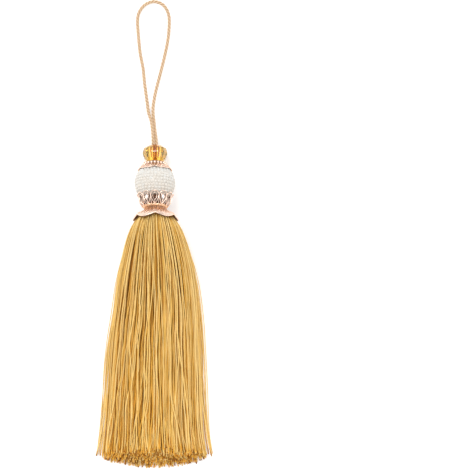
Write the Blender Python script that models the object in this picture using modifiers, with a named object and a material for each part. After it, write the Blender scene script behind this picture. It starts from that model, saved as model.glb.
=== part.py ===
"""A curtain tieback tassel that lies on its back on a flat surface.

A twisted cord loop, a faceted glass rondelle, a ball between two filigree caps, a petal cap and a
yarn skirt, in metres with +Z up. The loop lies along +Y, the skirt along -Y and +X is to its right.
The origin is under the middle of the beads and skirt, on the surface.
"""

import math
import random

import bmesh
import bpy
from mathutils import Vector

MM = 0.001
NAME = "curtain_tieback_tassel"
MERGE = 0.000001

# The beads share one axis. The ball lies on the surface, and the smaller rondelle dips beside it.
LEAN = math.radians(13.5)
SEAT_GAP = 0.3 * MM
BORE_RADIUS = 2.3 * MM
BORE_SIDES = 16

BALL_RADIUS = 12.4 * MM
BALL_FLAT_RADIUS = 2.0 * MM
BALL_HEIGHT = math.sqrt(BALL_RADIUS**2 - BALL_FLAT_RADIUS**2)
BALL_STEPS = 30
BALL_BANDS = 14

RONDELLE_RADIUS = 7.65 * MM
RONDELLE_LENGTH = 9.6 * MM
RONDELLE_CENTRE = 18.1 * MM
RONDELLE_FACETS = 12
RONDELLE_TABLE = 4.3 * MM
RONDELLE_SHOULDER = 6.4 * MM
SHOULDER_SHARE = 0.66
GIRDLE_SHARE = 0.09

CAP_WALL = 0.45 * MM
PETAL_STEPS = 36
ARCH_STEPS = 48
CAP_BANDS = 4
UPPER_CAP_DOME = math.radians(36.0)
UPPER_CAP_RIM = math.radians(52.5)
UPPER_CAP_PETALS = 6
UPPER_CAP_NOTCH = math.radians(7.0)
LOWER_CAP_SHOULDER = math.radians(49.0)
LOWER_CAP_RIM = math.radians(59.0)
LOWER_CAP_ARCHES = 12
LOWER_CAP_NOTCH = math.radians(5.0)
PETALS = 6
PETAL_NOTCH = 1.8 * MM
PETAL_SWELL = 0.03
PETAL_ROUNDNESS = 0.999

# The yarn skirt reaches this far from the ball's middle at its longest strand, along the surface.
SKIRT_REACH = 171.0 * MM
SKIRT_SIDE_LOSS = 6.5 * MM
SKIRT_TOP_LOSS = 7.0 * MM
SKIRT_TIP_SPREAD = 1.4 * MM
HEAD_STEPS = 24
STRAND_PITCH = 2.2 * MM
STRAND_FILL = 0.74
MOUND_HALF_WIDTH = 30.0 * MM
MOUND_HEIGHT = 17.0 * MM
SEED = 7

# Neighbouring strands gather into locks of two widths, as two sums over the width of the skirt.
LOCK_WAVES = ((6.0, 0.6), (11.0, 2.3))
LOCK_DEPTH_TURN = 1.2

ROPE_RADIUS = 0.95 * MM
ROPE_GROOVE_RADIUS = 0.70 * MM
ROPE_PLIES = 3
ROPE_LAY = 6.3 * MM
ROPE_STEPS_PER_LAY = 9
ROUTE_SAMPLES = 24
LEG_OFFSET = 1.02 * MM

# Both tools that cut reach well past what they cut.
FLOOR_SLAB_SIDE = 4.0 * BALL_RADIUS
BORE_DRILL_LENGTH = 2.0 * RONDELLE_LENGTH

# The origin is under the middle of the beads and skirt, which end at the rondelle and the longest strand.
RONDELLE_TOP = RONDELLE_CENTRE + RONDELLE_LENGTH / 2
STACK_REACH = RONDELLE_TOP * math.cos(LEAN) + RONDELLE_TABLE * math.sin(LEAN)
BALL_Y = (SKIRT_REACH - STACK_REACH) / 2

# Turned outlines in mm: (radius, height above the ball's middle), down the outer side.
UPPER_CAP_CROWN = (
    (5.0, 13.00),
    (5.6, 12.80),
    (6.1, 12.40),
    (6.9, 11.90),
    (7.2, 11.45),
)
LOWER_CAP_BOWL = (
    (10.2, -9.2),
    (9.9, -10.5),
    (9.5, -11.8),
    (8.9, -13.0),
    (7.9, -14.3),
    (7.0, -15.1),
)
PETAL_CAP_OUTSIDE = (
    (6.4, -15.4),
    (6.8, -16.3),
    (7.7, -17.3),
    (9.3, -18.5),
    (11.1, -19.7),
    (12.2, -20.9),
    (12.8, -22.0),
    (13.1, -23.0),
)
PETAL_CAP_INSIDE = (
    (12.6, -23.0),
    (12.3, -22.1),
    (11.7, -21.1),
    (10.7, -20.1),
    (8.9, -18.9),
    (7.2, -17.6),
    (6.3, -16.6),
)
PETAL_FLARE_START = -18.0
HEAD_OUTSIDE = (
    (5.8, -17.1),
    (6.7, -17.8),
    (8.3, -19.0),
    (9.8, -20.0),
    (10.5, -20.7),
)
SOCKET_FLOOR = -19.0

# The skirt's sections: distance from the ball's middle and height of the widest line in mm, lean of the
# section in degrees, half width and height above that line in mm, how far the underside is round, and
# how strongly the strands gather into locks.
SKIRT_SECTIONS = (
    # distance, line, lean, half_width, rise, roundness, gather
    (19.25, 16.86, 13.5, 9.6, 9.6, 1.00, 0.0),
    (22.27, 17.58, 13.5, 11.6, 11.6, 1.00, 0.0),
    (26.50, 17.30, 6.0, 15.2, 13.1, 0.92, 0.0),
    (42.00, 8.60, 0.0, 20.6, 19.4, 0.40, 0.3),
    (78.00, 0.00, 0.0, 27.4, 22.3, 0.00, 0.5),
    (163.00, 0.00, 0.0, 33.6, 15.5, 0.00, 0.4),
)

# One leg of the loop and then the other, in mm: right of the axis, beyond the ball's middle, height.
LOOP_ROUTE = (
    (-1.25, 26.5, 6.35),
    (-1.6, 31.5, 5.15),
    (-2.4, 37.5, 3.3),
    (-4.1, 42.8, 1.4),
    (-5.0, 49.3, 1.05),
    (-6.5, 60.4, 1.0),
    (-7.4, 69.4, 1.0),
    (-9.2, 79.0, 1.0),
    (-10.3, 90.5, 1.0),
    (-10.7, 98.6, 1.0),
    (-9.4, 103.8, 1.0),
    (-5.8, 107.9, 1.0),
    (-0.7, 109.6, 1.0),
    (4.4, 107.8, 1.0),
    (7.4, 103.6, 1.0),
    (8.4, 98.1, 1.0),
    (7.7, 87.5, 1.0),
    (5.4, 75.9, 1.0),
    (2.4, 63.9, 1.0),
    (0.1, 54.8, 1.0),
    (-1.1, 47.8, 1.1),
    (-1.4, 42.8, 1.4),
    (-0.8, 37.5, 1.95),
    (-0.15, 31.5, 3.55),
    (0.55, 26.5, 5.25),
)

# Base colour, roughness and metallic value of each piece.
FINISHES = {
    "hanging_loop": ((0.68, 0.47, 0.27), 0.55, 0.0),
    "rondelle_bead": ((0.80, 0.38, 0.05), 0.05, 0.0),
    "upper_bead_cap": ((0.80, 0.50, 0.38), 0.25, 1.0),
    "pearl_ball": ((0.84, 0.77, 0.68), 0.30, 0.0),
    "lower_bead_cap": ((0.80, 0.50, 0.38), 0.25, 1.0),
    "petal_cap": ((0.80, 0.50, 0.38), 0.30, 1.0),
    "tassel_skirt": ((0.68, 0.38, 0.10), 0.45, 0.0),
}


def clear_scene():
    for item in list(bpy.data.objects):
        bpy.data.objects.remove(item, do_unlink=True)


def new_collection(name):
    collection = bpy.data.collections.new(name)
    bpy.context.scene.collection.children.link(collection)
    return collection


def in_metres(rows):
    return [tuple(value * MM for value in row) for row in rows]


def add_finish(piece):
    colour, roughness, metallic = FINISHES[piece.name]
    material = bpy.data.materials.new(piece.name + "_finish")
    material.use_nodes = True
    shader = material.node_tree.nodes["Principled BSDF"]
    shader.inputs["Base Color"].default_value = (*colour, 1.0)
    shader.inputs["Roughness"].default_value = roughness
    shader.inputs["Metallic"].default_value = metallic
    piece.data.materials.clear()
    piece.data.materials.append(material)


def add_turned(name, outline, closed, steps, axis, collection):
    """Turn an outline of (radius, height) rows about the bead axis with a Screw modifier."""
    points = [(radius, 0.0, height) for radius, height in outline]
    edges = [(row, row + 1) for row in range(len(points) - 1)]
    if closed:
        edges.append((len(points) - 1, 0))
    mesh = bpy.data.meshes.new(name)
    mesh.from_pydata(points, edges, [])
    piece = bpy.data.objects.new(name, mesh)
    collection.objects.link(piece)
    piece.parent = axis
    screw = piece.modifiers.new("turned", "SCREW")
    screw.axis = "Z"
    screw.steps = steps
    screw.render_steps = steps
    screw.use_merge_vertices = True
    screw.merge_threshold = MERGE
    return piece


def evaluated_mesh(piece):
    bpy.context.view_layer.update()
    graph = bpy.context.evaluated_depsgraph_get()
    return bpy.data.meshes.new_from_object(piece.evaluated_get(graph))


def fix_mesh(piece):
    """Replace a piece's modifiers with the mesh that they make."""
    mesh = evaluated_mesh(piece)
    mesh.name = piece.name
    piece.modifiers.clear()
    piece.data = mesh
    return mesh


def sphere_arc(radius, first, last, bands):
    """Rows along a sphere about the ball's middle, by the angle from the axis."""
    angles = [first + (last - first) * band / bands for band in range(bands + 1)]
    return [(radius * math.sin(angle), radius * math.cos(angle)) for angle in angles]


def bore_angle(radius):
    return math.asin(BORE_RADIUS / radius)


def notch_share(angle, petals):
    """0 at the middle of a petal and 1 in the notch between two, with round petals."""
    across = abs((angle * petals / math.tau + 0.5) % 1.0 - 0.5) * 2.0
    return 1.0 - math.sqrt(1.0 - min(1.0, across) ** 2 * PETAL_ROUNDNESS)


def scallop_dome(mesh, petals, notch, rim_angle, full_angle):
    """Draw a dome's rim back along the sphere between petals; it tapers off towards the crown."""
    for vertex in mesh.vertices:
        x, y, z = vertex.co
        radius = math.hypot(x, y)
        polar = math.atan2(radius, abs(z))
        weight = (polar - full_angle) / (rim_angle - full_angle)
        if weight <= 0.0:
            continue
        azimuth = math.atan2(y, x)
        reach = math.hypot(radius, z)
        turned = polar - notch * min(1.0, weight) * notch_share(azimuth, petals)
        vertex.co.x = reach * math.sin(turned) * math.cos(azimuth)
        vertex.co.y = reach * math.sin(turned) * math.sin(azimuth)
        vertex.co.z = math.copysign(reach * math.cos(turned), z)


def add_bead_axis():
    """Everything threaded on the cord hangs on this empty: its +Z runs to the rondelle."""
    axis = bpy.data.objects.new("bead_axis", None)
    bpy.context.scene.collection.objects.link(axis)
    axis.location = (0.0, BALL_Y, BALL_HEIGHT)
    axis.rotation_euler = (-(math.pi / 2 + LEAN), 0.0, 0.0)
    bpy.context.view_layer.update()
    return axis


def add_cutter(name, mesh, cutters):
    cutter = bpy.data.objects.new(name, mesh)
    cutter.display_type = "WIRE"
    cutter.hide_render = True
    cutters.objects.link(cutter)
    return cutter


def cut_with(piece, cutter, operation="DIFFERENCE"):
    boolean = piece.modifiers.new(cutter.name, "BOOLEAN")
    boolean.operation = operation
    boolean.solver = "EXACT"
    boolean.object = cutter


def add_floor_cutter(cutters):
    """A slab under the surface, which gives the ball its small flat spot."""
    shape = bmesh.new()
    side = FLOOR_SLAB_SIDE
    bmesh.ops.create_cube(shape, size=side)
    mesh = bpy.data.meshes.new("floor_slab")
    shape.to_mesh(mesh)
    shape.free()
    cutter = add_cutter("floor_slab", mesh, cutters)
    cutter.location = (0.0, BALL_Y, -side / 2)
    return cutter


def add_bore_cutter(axis, cutters):
    shape = bmesh.new()
    bmesh.ops.create_cone(
        shape,
        cap_ends=True,
        segments=BORE_SIDES,
        radius1=BORE_RADIUS,
        radius2=BORE_RADIUS,
        depth=BORE_DRILL_LENGTH,
    )
    mesh = bpy.data.meshes.new("rondelle_bore")
    shape.to_mesh(mesh)
    shape.free()
    cutter = add_cutter("rondelle_bore", mesh, cutters)
    cutter.parent = axis
    cutter.location = (0.0, 0.0, RONDELLE_CENTRE)
    return cutter


def add_pearl_ball(axis, parts, cutters):
    edge = bore_angle(BALL_RADIUS)
    outline = sphere_arc(BALL_RADIUS, edge, math.pi - edge, BALL_BANDS)
    ball = add_turned("pearl_ball", outline, True, BALL_STEPS, axis, parts)
    cut_with(ball, add_floor_cutter(cutters))
    return ball


def add_rondelle(axis, parts, cutters):
    """A cut glass bead: the hull of facet corners, with the end rings a half step on from the rest."""
    half = RONDELLE_LENGTH / 2
    rings = (
        (RONDELLE_TABLE, half, 0.0),
        (RONDELLE_SHOULDER, SHOULDER_SHARE * half, 0.5),
        (RONDELLE_RADIUS, GIRDLE_SHARE * half, 0.5),
        (RONDELLE_RADIUS, -GIRDLE_SHARE * half, 0.5),
        (RONDELLE_SHOULDER, -SHOULDER_SHARE * half, 0.5),
        (RONDELLE_TABLE, -half, 0.0),
    )
    shape = bmesh.new()
    for radius, height, turn in rings:
        for facet in range(RONDELLE_FACETS):
            angle = math.tau * (facet + turn) / RONDELLE_FACETS
            shape.verts.new((radius * math.cos(angle), radius * math.sin(angle), height))
    bmesh.ops.convex_hull(shape, input=shape.verts)
    mesh = bpy.data.meshes.new("rondelle_bead")
    shape.to_mesh(mesh)
    shape.free()
    bead = bpy.data.objects.new("rondelle_bead", mesh)
    parts.objects.link(bead)
    bead.parent = axis
    bead.location = (0.0, 0.0, RONDELLE_CENTRE)
    cut_with(bead, add_bore_cutter(axis, cutters))
    return bead


def add_upper_cap(axis, parts):
    """A collar under the rondelle, a rim of grains and a dome that follows the ball."""
    inside = BALL_RADIUS + SEAT_GAP
    outside = inside + CAP_WALL
    rim = UPPER_CAP_RIM
    crown_end = UPPER_CAP_DOME
    crown = in_metres(UPPER_CAP_CROWN)
    outline = [(BORE_RADIUS, crown[0][1])]
    outline += crown
    outline += sphere_arc(outside, crown_end, rim, CAP_BANDS)
    outline += sphere_arc(inside, rim, bore_angle(inside), CAP_BANDS)
    cap = add_turned("upper_bead_cap", outline, True, PETAL_STEPS, axis, parts)
    mesh = fix_mesh(cap)
    scallop_dome(mesh, UPPER_CAP_PETALS, UPPER_CAP_NOTCH, rim, crown_end)
    return cap


def add_lower_cap(axis, parts):
    """A bowl of small arches in which the ball sits."""
    inside = BALL_RADIUS + SEAT_GAP
    outside = inside + CAP_WALL
    rim = math.pi - LOWER_CAP_RIM
    outline = sphere_arc(outside, rim, math.pi - LOWER_CAP_SHOULDER, CAP_BANDS // 2)
    outline += in_metres(LOWER_CAP_BOWL)
    outline.append((BORE_RADIUS, LOWER_CAP_BOWL[-1][1] * MM))
    outline += sphere_arc(inside, math.pi - bore_angle(inside), rim, CAP_BANDS)
    cap = add_turned("lower_bead_cap", outline, True, ARCH_STEPS, axis, parts)
    mesh = fix_mesh(cap)
    scallop_dome(mesh, LOWER_CAP_ARCHES, LOWER_CAP_NOTCH, LOWER_CAP_RIM, LOWER_CAP_SHOULDER)
    return cap


def add_petal_cap(axis, parts):
    """A flared bell over the yarn head, its edge cut into petals that swell a little."""
    outline = [(BORE_RADIUS, PETAL_CAP_OUTSIDE[0][1] * MM)]
    outline += in_metres(PETAL_CAP_OUTSIDE)
    outline += in_metres(PETAL_CAP_INSIDE)
    outline.append((BORE_RADIUS, PETAL_CAP_INSIDE[-1][1] * MM))
    cap = add_turned("petal_cap", outline, True, PETAL_STEPS, axis, parts)
    mesh = fix_mesh(cap)
    start = PETAL_FLARE_START * MM
    rim = PETAL_CAP_OUTSIDE[-1][1] * MM
    for vertex in mesh.vertices:
        weight = (vertex.co.z - start) / (rim - start)
        if weight <= 0.0:
            continue
        azimuth = math.atan2(vertex.co.y, vertex.co.x)
        swell = 1.0 + PETAL_SWELL * weight * math.cos(PETALS * azimuth)
        vertex.co.x *= swell
        vertex.co.y *= swell
        vertex.co.z += PETAL_NOTCH * weight * notch_share(azimuth, PETALS)
    return cap


def strand_places():
    """Middles of the strands in the mound that they make on the surface, row on row from the bottom."""
    row_pitch = STRAND_PITCH * math.sqrt(3.0) / 2.0
    places = []
    rows = int(MOUND_HEIGHT / row_pitch)
    for row in range(rows):
        foot = row * row_pitch
        middle = foot + row_pitch / 2
        half = MOUND_HALF_WIDTH * math.sqrt(1.0 - (middle / MOUND_HEIGHT) ** 2)
        shift = 0.5 * (row % 2)
        reach = int(half / STRAND_PITCH) + 1
        for column in range(-reach, reach + 1):
            across = (column + shift) * STRAND_PITCH
            if abs(across) + STRAND_PITCH / 2 <= half:
                places.append((across, foot))
    return places, row_pitch


def gathered(share, depth, gather):
    """Shift a place across the width towards the middle of its lock; the edges stay."""
    shift = sum(
        math.sin(waves * math.pi * share + phase + LOCK_DEPTH_TURN * depth) / (waves * math.pi)
        for waves, phase in LOCK_WAVES
    )
    return share + gather * (1.0 - share**2) * shift


def skirt_point(across, up, section):
    """Carry a point of the mound to a section, where it keeps its share of the width and the depth."""
    distance, line, lean, half_width, rise, roundness, gather = section
    share = across / MOUND_HALF_WIDTH
    crown = math.sqrt(max(0.0, 1.0 - share**2))
    depth = up / MOUND_HEIGHT
    height = rise * (depth * (1.0 + roundness) - crown * roundness)
    slope = math.radians(lean)
    return Vector(
        (
            gathered(share, depth, gather) * half_width * MM,
            BALL_Y - (distance - height * math.sin(slope)) * MM,
            (line + height * math.cos(slope)) * MM,
        )
    )


def strand_rings(across, foot, row_pitch, tip_share):
    """A strand's three corners at each section; its base is level and its end is cut at tip_share."""
    half = STRAND_PITCH * STRAND_FILL / 2
    corners = (
        (across - half, foot),
        (across + half, foot),
        (across, foot + row_pitch * STRAND_FILL),
    )
    rings = [[skirt_point(*corner, section) for corner in corners] for section in SKIRT_SECTIONS]
    last = [before.lerp(end, tip_share) for before, end in zip(rings[-2], rings[-1])]
    rings[-1] = last
    return rings


def add_strands(cutters):
    """All strands as one mesh of separate three-sided bodies."""
    chance = random.Random(SEED)
    places, row_pitch = strand_places()
    straight_start = SKIRT_SECTIONS[-2][0] * MM
    straight_end = SKIRT_SECTIONS[-1][0] * MM
    shape = bmesh.new()
    for across, foot in places:
        side_loss = SKIRT_SIDE_LOSS * (across / MOUND_HALF_WIDTH) ** 2
        top_loss = SKIRT_TOP_LOSS * foot / MOUND_HEIGHT
        reach = SKIRT_REACH - side_loss - top_loss - chance.uniform(0.0, SKIRT_TIP_SPREAD)
        tip_share = (reach - straight_start) / (straight_end - straight_start)
        rings = strand_rings(across, foot, row_pitch, tip_share)
        loops = [[shape.verts.new(point) for point in ring] for ring in rings]
        for near, far in zip(loops, loops[1:]):
            for corner in range(3):
                after = (corner + 1) % 3
                shape.faces.new((near[corner], near[after], far[after], far[corner]))
        shape.faces.new(loops[0][::-1])
        shape.faces.new(loops[-1])
    bmesh.ops.recalc_face_normals(shape, faces=shape.faces)
    mesh = bpy.data.meshes.new("strands")
    shape.to_mesh(mesh)
    shape.free()
    return add_cutter("strands", mesh, cutters)


def add_skirt(axis, parts, cutters):
    """The bound head, with a socket for the cord's ends, and the strands fused into its lower face."""
    socket_floor = SOCKET_FLOOR * MM
    head = in_metres(HEAD_OUTSIDE)
    outline = [(0.0, socket_floor), (BORE_RADIUS, socket_floor), (BORE_RADIUS, head[0][1])]
    outline += head
    outline.append((0.0, head[-1][1]))
    skirt = add_turned("tassel_skirt", outline, False, HEAD_STEPS, axis, parts)
    cut_with(skirt, add_strands(cutters), "UNION")
    return skirt


def smooth_curve(points, samples):
    """Points on a curve that runs evenly through all the given ones."""
    curve = []
    for index in range(len(points) - 1):
        before = points[max(0, index - 1)]
        start = points[index]
        end = points[index + 1]
        after = points[min(len(points) - 1, index + 2)]
        for step in range(samples):
            share = step / samples
            a = 2.0 * start
            b = (end - before) * share
            c = (2.0 * before - 5.0 * start + 4.0 * end - after) * share**2
            d = (3.0 * start - before - 3.0 * end + after) * share**3
            curve.append((a + b + c + d) * 0.5)
    curve.append(points[-1].copy())
    return curve


def even_points(curve, spacing):
    """Points along a curve at even distances, both ends kept."""
    lengths = [0.0]
    for start, end in zip(curve, curve[1:]):
        lengths.append(lengths[-1] + (end - start).length)
    count = max(1, round(lengths[-1] / spacing))
    points = []
    place = 0
    for step in range(count + 1):
        target = lengths[-1] * step / count
        while place < len(curve) - 2 and lengths[place + 1] < target:
            place += 1
        span = lengths[place + 1] - lengths[place]
        share = (target - lengths[place]) / span
        points.append(curve[place].lerp(curve[place + 1], share))
    return points


def loop_points(axis):
    """The rope's middle line: up one bore leg, round the loop on the surface and down the other."""
    matrix = axis.matrix_world
    socket = SOCKET_FLOOR * MM + SEAT_GAP
    ends = []
    for side in (-1.0, 1.0):
        foot = matrix @ Vector((side * LEG_OFFSET, 0.0, socket))
        mouth = matrix @ Vector((side * LEG_OFFSET, 0.0, RONDELLE_CENTRE))
        ends.append((foot, mouth))
    route = [Vector((x * MM, BALL_Y + y * MM, z * MM)) for x, y, z in LOOP_ROUTE]
    lead_in = [ends[0][1]] + route + [ends[1][1]]
    spacing = ROPE_LAY / ROPE_STEPS_PER_LAY
    points = even_points(smooth_curve(lead_in, ROUTE_SAMPLES), spacing)
    return [ends[0][0]] + points + [ends[1][0]]


def add_rope_section(cutters):
    """The rope's outline: one lobe to a ply, with grooves between."""
    curve = bpy.data.curves.new("rope_section", "CURVE")
    curve.dimensions = "2D"
    spline = curve.splines.new("POLY")
    corners = 2 * ROPE_PLIES
    spline.points.add(corners - 1)
    for corner in range(corners):
        radius = ROPE_GROOVE_RADIUS if corner % 2 else ROPE_RADIUS
        angle = -math.tau * corner / corners
        spline.points[corner].co = (radius * math.cos(angle), radius * math.sin(angle), 0.0, 1.0)
    spline.use_cyclic_u = True
    section = bpy.data.objects.new("rope_section", curve)
    section.hide_render = True
    section.display_type = "WIRE"
    cutters.objects.link(section)
    return section


def add_hanging_loop(axis, parts, cutters):
    """The doubled cord, with its twist carried by the tilt of the curve's points."""
    points = loop_points(axis)
    curve = bpy.data.curves.new("hanging_loop", "CURVE")
    curve.dimensions = "3D"
    curve.twist_mode = "Z_UP"
    curve.bevel_mode = "OBJECT"
    curve.bevel_object = add_rope_section(cutters)
    curve.use_fill_caps = True
    spline = curve.splines.new("POLY")
    spline.points.add(len(points) - 1)
    for index, point in enumerate(points):
        spline.points[index].co = (*point, 1.0)
        turns = min(max(index - 1, 0), len(points) - 3) / ROPE_STEPS_PER_LAY
        spline.points[index].tilt = math.tau * turns
    rope = bpy.data.objects.new("hanging_loop", curve)
    parts.objects.link(rope)
    return rope


def main():
    clear_scene()
    parts = new_collection(NAME)
    cutters = new_collection("cutters")
    axis = add_bead_axis()
    pieces = [
        add_hanging_loop(axis, parts, cutters),
        add_rondelle(axis, parts, cutters),
        add_upper_cap(axis, parts),
        add_pearl_ball(axis, parts, cutters),
        add_lower_cap(axis, parts),
        add_petal_cap(axis, parts),
        add_skirt(axis, parts, cutters),
    ]
    for piece in pieces:
        add_finish(piece)


main()
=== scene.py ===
"""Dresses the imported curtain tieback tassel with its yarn, beads, caps and cord, and lights it.

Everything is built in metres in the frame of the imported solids. Named sizes and tables are in
millimetres, as in the part's own source, and MM turns them into metres. The cord's diameter and
swell, the stage and the properties are in metres already.
"""

import math
import random

import bmesh
import bpy
from mathutils import Matrix, Vector


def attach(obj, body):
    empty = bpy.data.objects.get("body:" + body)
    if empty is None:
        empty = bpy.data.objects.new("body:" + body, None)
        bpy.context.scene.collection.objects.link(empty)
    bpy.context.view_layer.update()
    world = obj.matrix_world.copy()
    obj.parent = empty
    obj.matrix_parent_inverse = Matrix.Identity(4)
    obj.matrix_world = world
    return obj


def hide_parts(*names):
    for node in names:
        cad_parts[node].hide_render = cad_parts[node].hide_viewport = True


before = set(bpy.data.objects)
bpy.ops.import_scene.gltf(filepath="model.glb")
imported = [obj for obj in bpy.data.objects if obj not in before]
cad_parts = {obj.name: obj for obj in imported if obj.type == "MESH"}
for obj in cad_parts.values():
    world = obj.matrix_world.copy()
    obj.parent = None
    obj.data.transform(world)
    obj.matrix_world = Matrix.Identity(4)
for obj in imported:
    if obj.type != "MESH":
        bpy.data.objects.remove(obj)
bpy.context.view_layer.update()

bl_info = {
    "name": "Curtain tieback tassel",
    "version": (1, 0, 0),
    "blender": (4, 5, 0),
    "location": "View3D > Sidebar > Tassel",
    "description": "Builds a lying yarn tassel with a cord loop, a pearl ball, a glass bead and metal caps",
    "category": "Add Mesh",
}

MM = 0.001
BODY = "root"
BAKE_MAP = "OFBake"
UP = Vector((0.0, 0.0, 1.0))
FRONT = -math.pi / 2
BALL_MIDDLE = Vector((0.0, 0.0, 0.0))
SQUARE = ((0, 0), (1, 0), (1, 1), (0, 1))
# The middle of each finish's range of tones.
PLAIN_TONE = 0.5

# The bead axis, as in the part's source: the ball lies on the surface and the loop's end dips.
LEAN = math.radians(13.5)
BALL_RADIUS = 12.4
BALL_Y = 73.86
BALL_HEIGHT = 12.24
SEAT_GAP = 0.3
BORE_RADIUS = 2.3
LOOSE_BORE_RADIUS = 2.85
AXIS = Matrix.Translation((0.0, BALL_Y * MM, BALL_HEIGHT * MM)) @ Matrix.Rotation(
    -(math.pi / 2 + LEAN), 4, "X"
)
# In the photo the lower pieces sit a little to the right.
LOWER_CAP_SHIFT = Matrix.Translation((0.2 * MM, 0.0, 0.0))
BELL_SHIFT = Matrix.Translation((0.5 * MM, 0.0, 0.0))

# One leg of the loop and then the other: right of the axis, beyond the ball's middle, height.
LOOP_ROUTE = (
    (-1.25, 26.5, 6.35),
    (-1.6, 31.5, 5.15),
    (-2.4, 37.5, 3.3),
    (-4.1, 42.8, 1.4),
    (-5.0, 49.3, 1.05),
    (-6.5, 60.4, 1.0),
    (-7.4, 69.4, 1.0),
    (-9.2, 79.0, 1.0),
    (-10.3, 90.5, 1.0),
    (-10.7, 98.6, 1.0),
    (-9.4, 103.8, 1.0),
    (-5.8, 107.9, 1.0),
    (-0.7, 109.6, 1.0),
    (4.4, 107.8, 1.0),
    (7.4, 103.6, 1.0),
    (8.4, 98.1, 1.0),
    (7.7, 87.5, 1.0),
    (5.4, 75.9, 1.0),
    (2.4, 63.9, 1.0),
    (0.1, 54.8, 1.0),
    (-1.1, 47.8, 1.1),
    (-1.4, 42.8, 1.4),
    (-0.8, 37.5, 1.95),
    (-0.15, 31.5, 3.55),
    (0.55, 26.5, 5.25),
)
# How far each leg lies from the bead axis inside the beads.
LEG_OFFSET = 1.02
ROUTE_SAMPLES = 24
ROPE_PLIES = 3
ROPE_DIAMETER = 0.0019
# How far the silky plies stand out past the solid's radius.
ROPE_SWELL = 0.00006
ROPE_RINGS_PER_LAY = 24
PLY_SIDES = 12
PATH_STEP = 4

RONDELLE_LENGTH = 9.6
RONDELLE_CENTRE = 18.1
RONDELLE_FACETS = 12
# Facet corners: radius, height from the bead's middle and turn in facets.
RONDELLE_RINGS = (
    (4.3, 4.8, 0.0),
    (6.9, 3.1, 0.5),
    (7.65, 0.45, 0.5),
    (7.65, -0.45, 0.5),
    (6.4, -3.2, 0.5),
    (4.3, -4.8, 0.0),
)
FLAT_FACET = math.radians(1.0)
WORN_EDGE = 0.07
WORN_EDGE_ANGLE = math.radians(9.0)
BORE_STEPS = 40
BORE_LINING = BORE_RADIUS + 0.1

PEARLS_FIRST = math.radians(34.0)
PEARLS_LAST = math.radians(150.0)
PEARL_ROW_SHARE = 0.87
PEARL_SEED = 31
# Random ranges of a pearl: share of the set radius, angles from the axis and round it, and lift.
PEARL_SIZES = (0.93, 1.05)
PEARL_TILT = 0.014
PEARL_TURN = 0.02
PEARL_LIFTS = (-0.15, 0.08)
# Painted reflection: the pearls are warmer towards the skirt and caps and cooler towards the loop, and their
# tones also vary at random.
PEARL_REFLECTION_RISE = 0.42
PEARL_TONE_SPREAD = 0.2
CORE_DEPTH = 0.72
CORE_BANDS = 24
CORE_STEPS = 64

# Small balls in meshes: columns and rows.
PEARL_GRID = (14, 9)
GRAIN_GRID = (12, 8)
JOINT_GRID = (10, 7)
BEADING_GRID = (8, 5)
WIRE_SIDES = 8
FINE_WIRE_SIDES = 6
RIM_STEPS = 240
# Brings the widest part of a drop's loop to about its set half width.
DROP_WIDEST = 1.3

UPPER_CAP_DOME = math.radians(36.0)
UPPER_CAP_RIM = math.radians(52.5)
UPPER_CAP_PETALS = 6
UPPER_CAP_GAP = 0.16
UPPER_CAP_WALL = 0.35
UPPER_CAP_NOTCH = math.radians(7.0)
UPPER_CAP_BANDS = 12
UPPER_CAP_STEPS = 168
# Just under 1, so that the notch between two petals keeps a finite slope.
NOTCH_SHARPNESS = 0.999
# Outlines of turned pieces are (radius, height) from the ball's middle.
UPPER_CAP_CROWN = (
    (4.7, 13.00), (5.2, 13.10), (5.8, 12.85), (6.1, 12.30), (6.3, 11.65), (6.8, 11.25),
    (7.3, 10.95),
)
# The drops on each petal: turn in degrees, tip and foot from the axis and half width in degrees.
UPPER_CAP_DROPS = (
    (0.0, 50.0, 39.0, 6.0),
    (-16.0, 47.0, 38.0, 5.0),
    (16.0, 47.0, 38.0, 5.0),
)
UPPER_CAP_SAMPLES = 3
UPPER_CAP_DROP_STEPS = 26
UPPER_CAP_DROP_LIFT = 0.1
UPPER_CAP_DROP_WIRE = 1.3
UPPER_CAP_RIM_WIRE = 1.4
GRAINS = 22
GRAIN_RING = (7.0, 11.4)
# A grain's length along the bead axis over its width.
GRAIN_LENGTH = 1.5
# Darkness of the upper cap: its crown's first rows, the groove at the crown's foot, and painted shade on the
# inside.
CROWN_ROWS = 5
CROWN_WEAR = 0.1
GROOVE_WEAR = 0.7
GROOVE_SHARE = 0.15
UPPER_CAP_LINING_SHADE = 0.2
# On the dome: the least, how much more between ribs, and the share that fades towards the rim.
DOME_WEAR = (0.5, 0.4)
DOME_FADE = 0.5
DOME_RIBS = 3

# The lower cap: depth below the ball's middle and radius of its petals.
CUP_PROFILE = (
    (6.60, 11.26), (7.10, 10.95), (8.00, 10.38), (9.20, 9.85), (10.6, 9.62), (12.2, 9.25),
    (13.4, 8.45), (14.3, 7.75), (15.3, 6.95),
)
LOWER_CAP_PETALS = 12
LOWER_CAP_STEPS = 192
NECK_START = 14.0
NECK_EASE = 0.8
NECK_WEAR = 0.16
FLUTE_DEPTH = 0.02
BOWL_TOP = 9.0
BOWL_DEPTH = 0.55
BOWL_BANDS = 30
# Painted shade: the bowl behind the petals is dark, as the shade seen through their loops.
BOWL_PAINTED_SHADE = 1.0
CUP_LINING_BANDS = 8
# Painted shade on the lining under the ball.
CUP_LINING_SHADE = 0.6
# A painted reflection of the yarn: the plate takes its golden colour towards the neck; depth where it starts,
# run and most.
YARN_REFLECTION = (13.2, 1.0, 0.3)
# The petals' loops: depths of tip and foot, half width in petals, and thickness in wire radii.
LOWER_CAP_DROPS = (
    (7.0, 14.6, 0.47, 1.4),
    (8.2, 12.6, 0.24, 1.0),
)
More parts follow.
